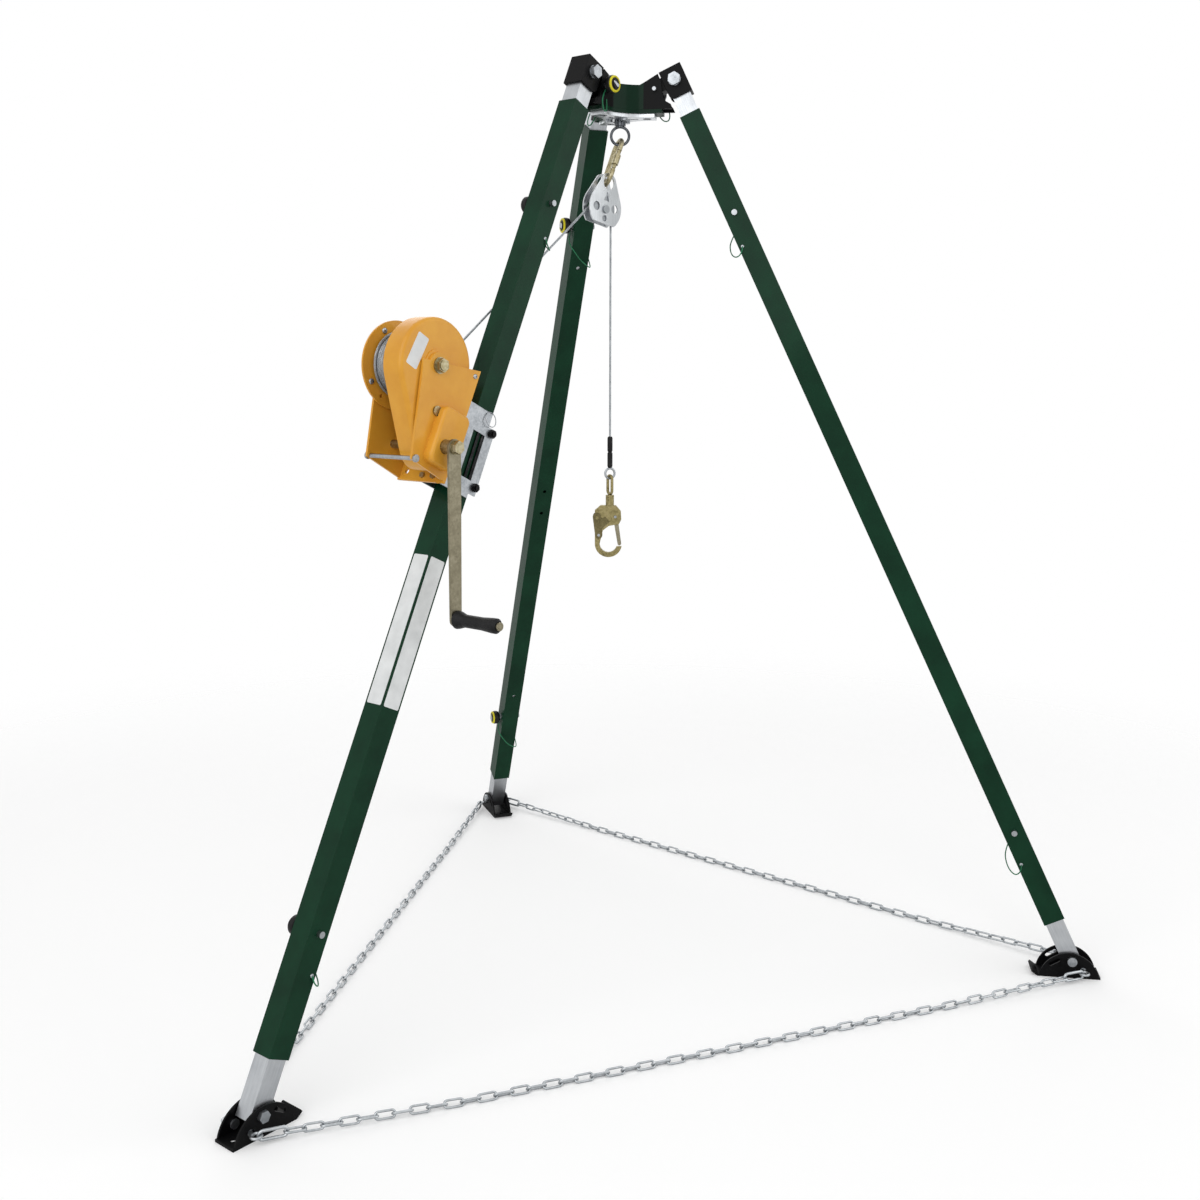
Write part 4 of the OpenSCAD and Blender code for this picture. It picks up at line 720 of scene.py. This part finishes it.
def filmPiece(name, width, height, place):
    bm = bmesh.new()
    bmesh.ops.create_grid(bm, x_segments=1, y_segments=1, size=0.5)
    bmesh.ops.transform(bm, matrix=Matrix.Diagonal((width, height, 1, 1)), verts=bm.verts)
    bmesh.ops.bevel(bm, geom=bm.verts[:], offset=film["corner"], offset_type="OFFSET", segments=3, profile=0.5,
                    affect="VERTICES", material=-1)
    top = bmesh.ops.extrude_face_region(bm, geom=bm.faces[:])
    bmesh.ops.translate(bm, vec=(0, 0, film["thick"]),
                        verts=[v for v in top["geom"] if isinstance(v, bmesh.types.BMVert)])
    bmesh.ops.recalc_face_normals(bm, faces=bm.faces)
    bmesh.ops.transform(bm, matrix=place @ Matrix.Rotation(math.pi / 2, 4, "X"), verts=bm.verts)
    finishPiece(name, bm, [filmWhite], "winch_leg_outer")


filmMid, filmLen = (film["from"] + film["to"]) / 2, film["from"] - film["to"]
half = tripod["tube"] / 2
filmPiece("leg_film_front", film["width"], filmLen,
          legMatrix(0) @ Matrix.Translation((half, 0, filmMid)) @ Matrix.Rotation(math.pi / 2, 4, "Z"))
filmPiece("leg_film_side", film["width"], filmLen,
          legMatrix(0) @ Matrix.Translation((0, half, filmMid)) @ Matrix.Rotation(math.pi, 4, "Z"))
filmPiece("cover_film", film["coverW"], film["coverH"],
          winchPlace @ Matrix.Translation(film["coverAt"]) @ Matrix.Rotation(film["coverTurn"], 4, "Y")
          @ Matrix.Rotation(math.pi, 4, "Z"))
dress("safety_chain", [chainZinc])
print("film and chain done")

# Floor and light: pale floor that fades into the white surround past the feet, three soft lamps
stage = {"size": 14, "lift": 0.14, "fade": (1.5, 3.2), "surround": 0.55, "aim": (0, -0.2, 0.9)}
floorMesh = bpy.data.meshes.new("floor")
bm = bmesh.new()
bmesh.ops.create_grid(bm, x_segments=1, y_segments=1, size=stage["size"])
bm.to_mesh(floorMesh)
bm.free()
floor = bpy.data.objects.new("floor", floorMesh)
scene.collection.objects.link(floor)
paleFloor = bpy.data.materials.new("pale matt floor")
paleFloor.use_nodes = True
tree = paleFloor.node_tree
matt = tree.nodes["Principled BSDF"]
matt.inputs["Base Color"].default_value = linear("f2f2f2")
matt.inputs["Roughness"].default_value = 0.9
matt.inputs["Emission Color"].default_value = linear("ffffff")
put(tree, "ShaderNodeMath", {1: stage["lift"]}, {0: put(tree, "ShaderNodeLightPath").outputs["Is Camera Ray"]},
    to=matt.inputs["Emission Strength"], operation="MULTIPLY")
spread = put(tree, "ShaderNodeVectorMath", links={0: put(tree, "ShaderNodeTexCoord").outputs["Object"]},
             operation="LENGTH")
fade = put(tree, "ShaderNodeMapRange", {"From Min": stage["fade"][0], "From Max": stage["fade"][1]},
           {"Value": spread.outputs["Value"]}, interpolation_type="SMOOTHSTEP")
clear = put(tree, "ShaderNodeBsdfTransparent")
put(tree, "ShaderNodeMixShader", links={0: fade.outputs["Result"], 1: matt.outputs[0], 2: clear.outputs[0]},
    to=tree.nodes["Material Output"].inputs["Surface"])
floorMesh.materials.append(paleFloor)

world = bpy.data.worlds.new("studio")
scene.world = world
world.use_nodes = True
tree = world.node_tree
back = tree.nodes["Background"]
back.inputs["Color"].default_value = linear("ffffff")
rays = put(tree, "ShaderNodeLightPath")
seen = put(tree, "ShaderNodeMath", links={0: rays.outputs["Is Camera Ray"], 1: rays.outputs["Is Glossy Ray"]},
           operation="MAXIMUM")
seen = put(tree, "ShaderNodeMath", links={0: seen.outputs["Value"], 1: rays.outputs["Is Transmission Ray"]},
           operation="MAXIMUM")
level = put(tree, "ShaderNodeMath", {1: 1 - stage["surround"], 2: stage["surround"]}, {0: seen.outputs["Value"]},
            operation="MULTIPLY_ADD")   # full white where it is seen, dimmer where it only lights
tree.links.new(level.outputs["Value"], back.inputs["Strength"])

lamps = {"key": ((-3.6, -4.0, 3.8), 6.5, 165), "fill": ((3.8, -3.0, 3.0), 5.5, 75),
         "back": ((0.6, 4.0, 3.8), 5.5, 65)}   # place, size in metres, watts
for name, (spot, size, power) in lamps.items():
    data = bpy.data.lights.new(name, "AREA")
    data.shape = "DISK"
    data.size = size
    data.energy = power
    lamp = bpy.data.objects.new(name, data)
    scene.collection.objects.link(lamp)
    lamp.location = spot
    lamp.rotation_euler = (Vector(stage["aim"]) - Vector(spot)).to_track_quat("-Z", "Y").to_euler()
scene.view_settings.view_transform = "Standard"
print("floor and light set")
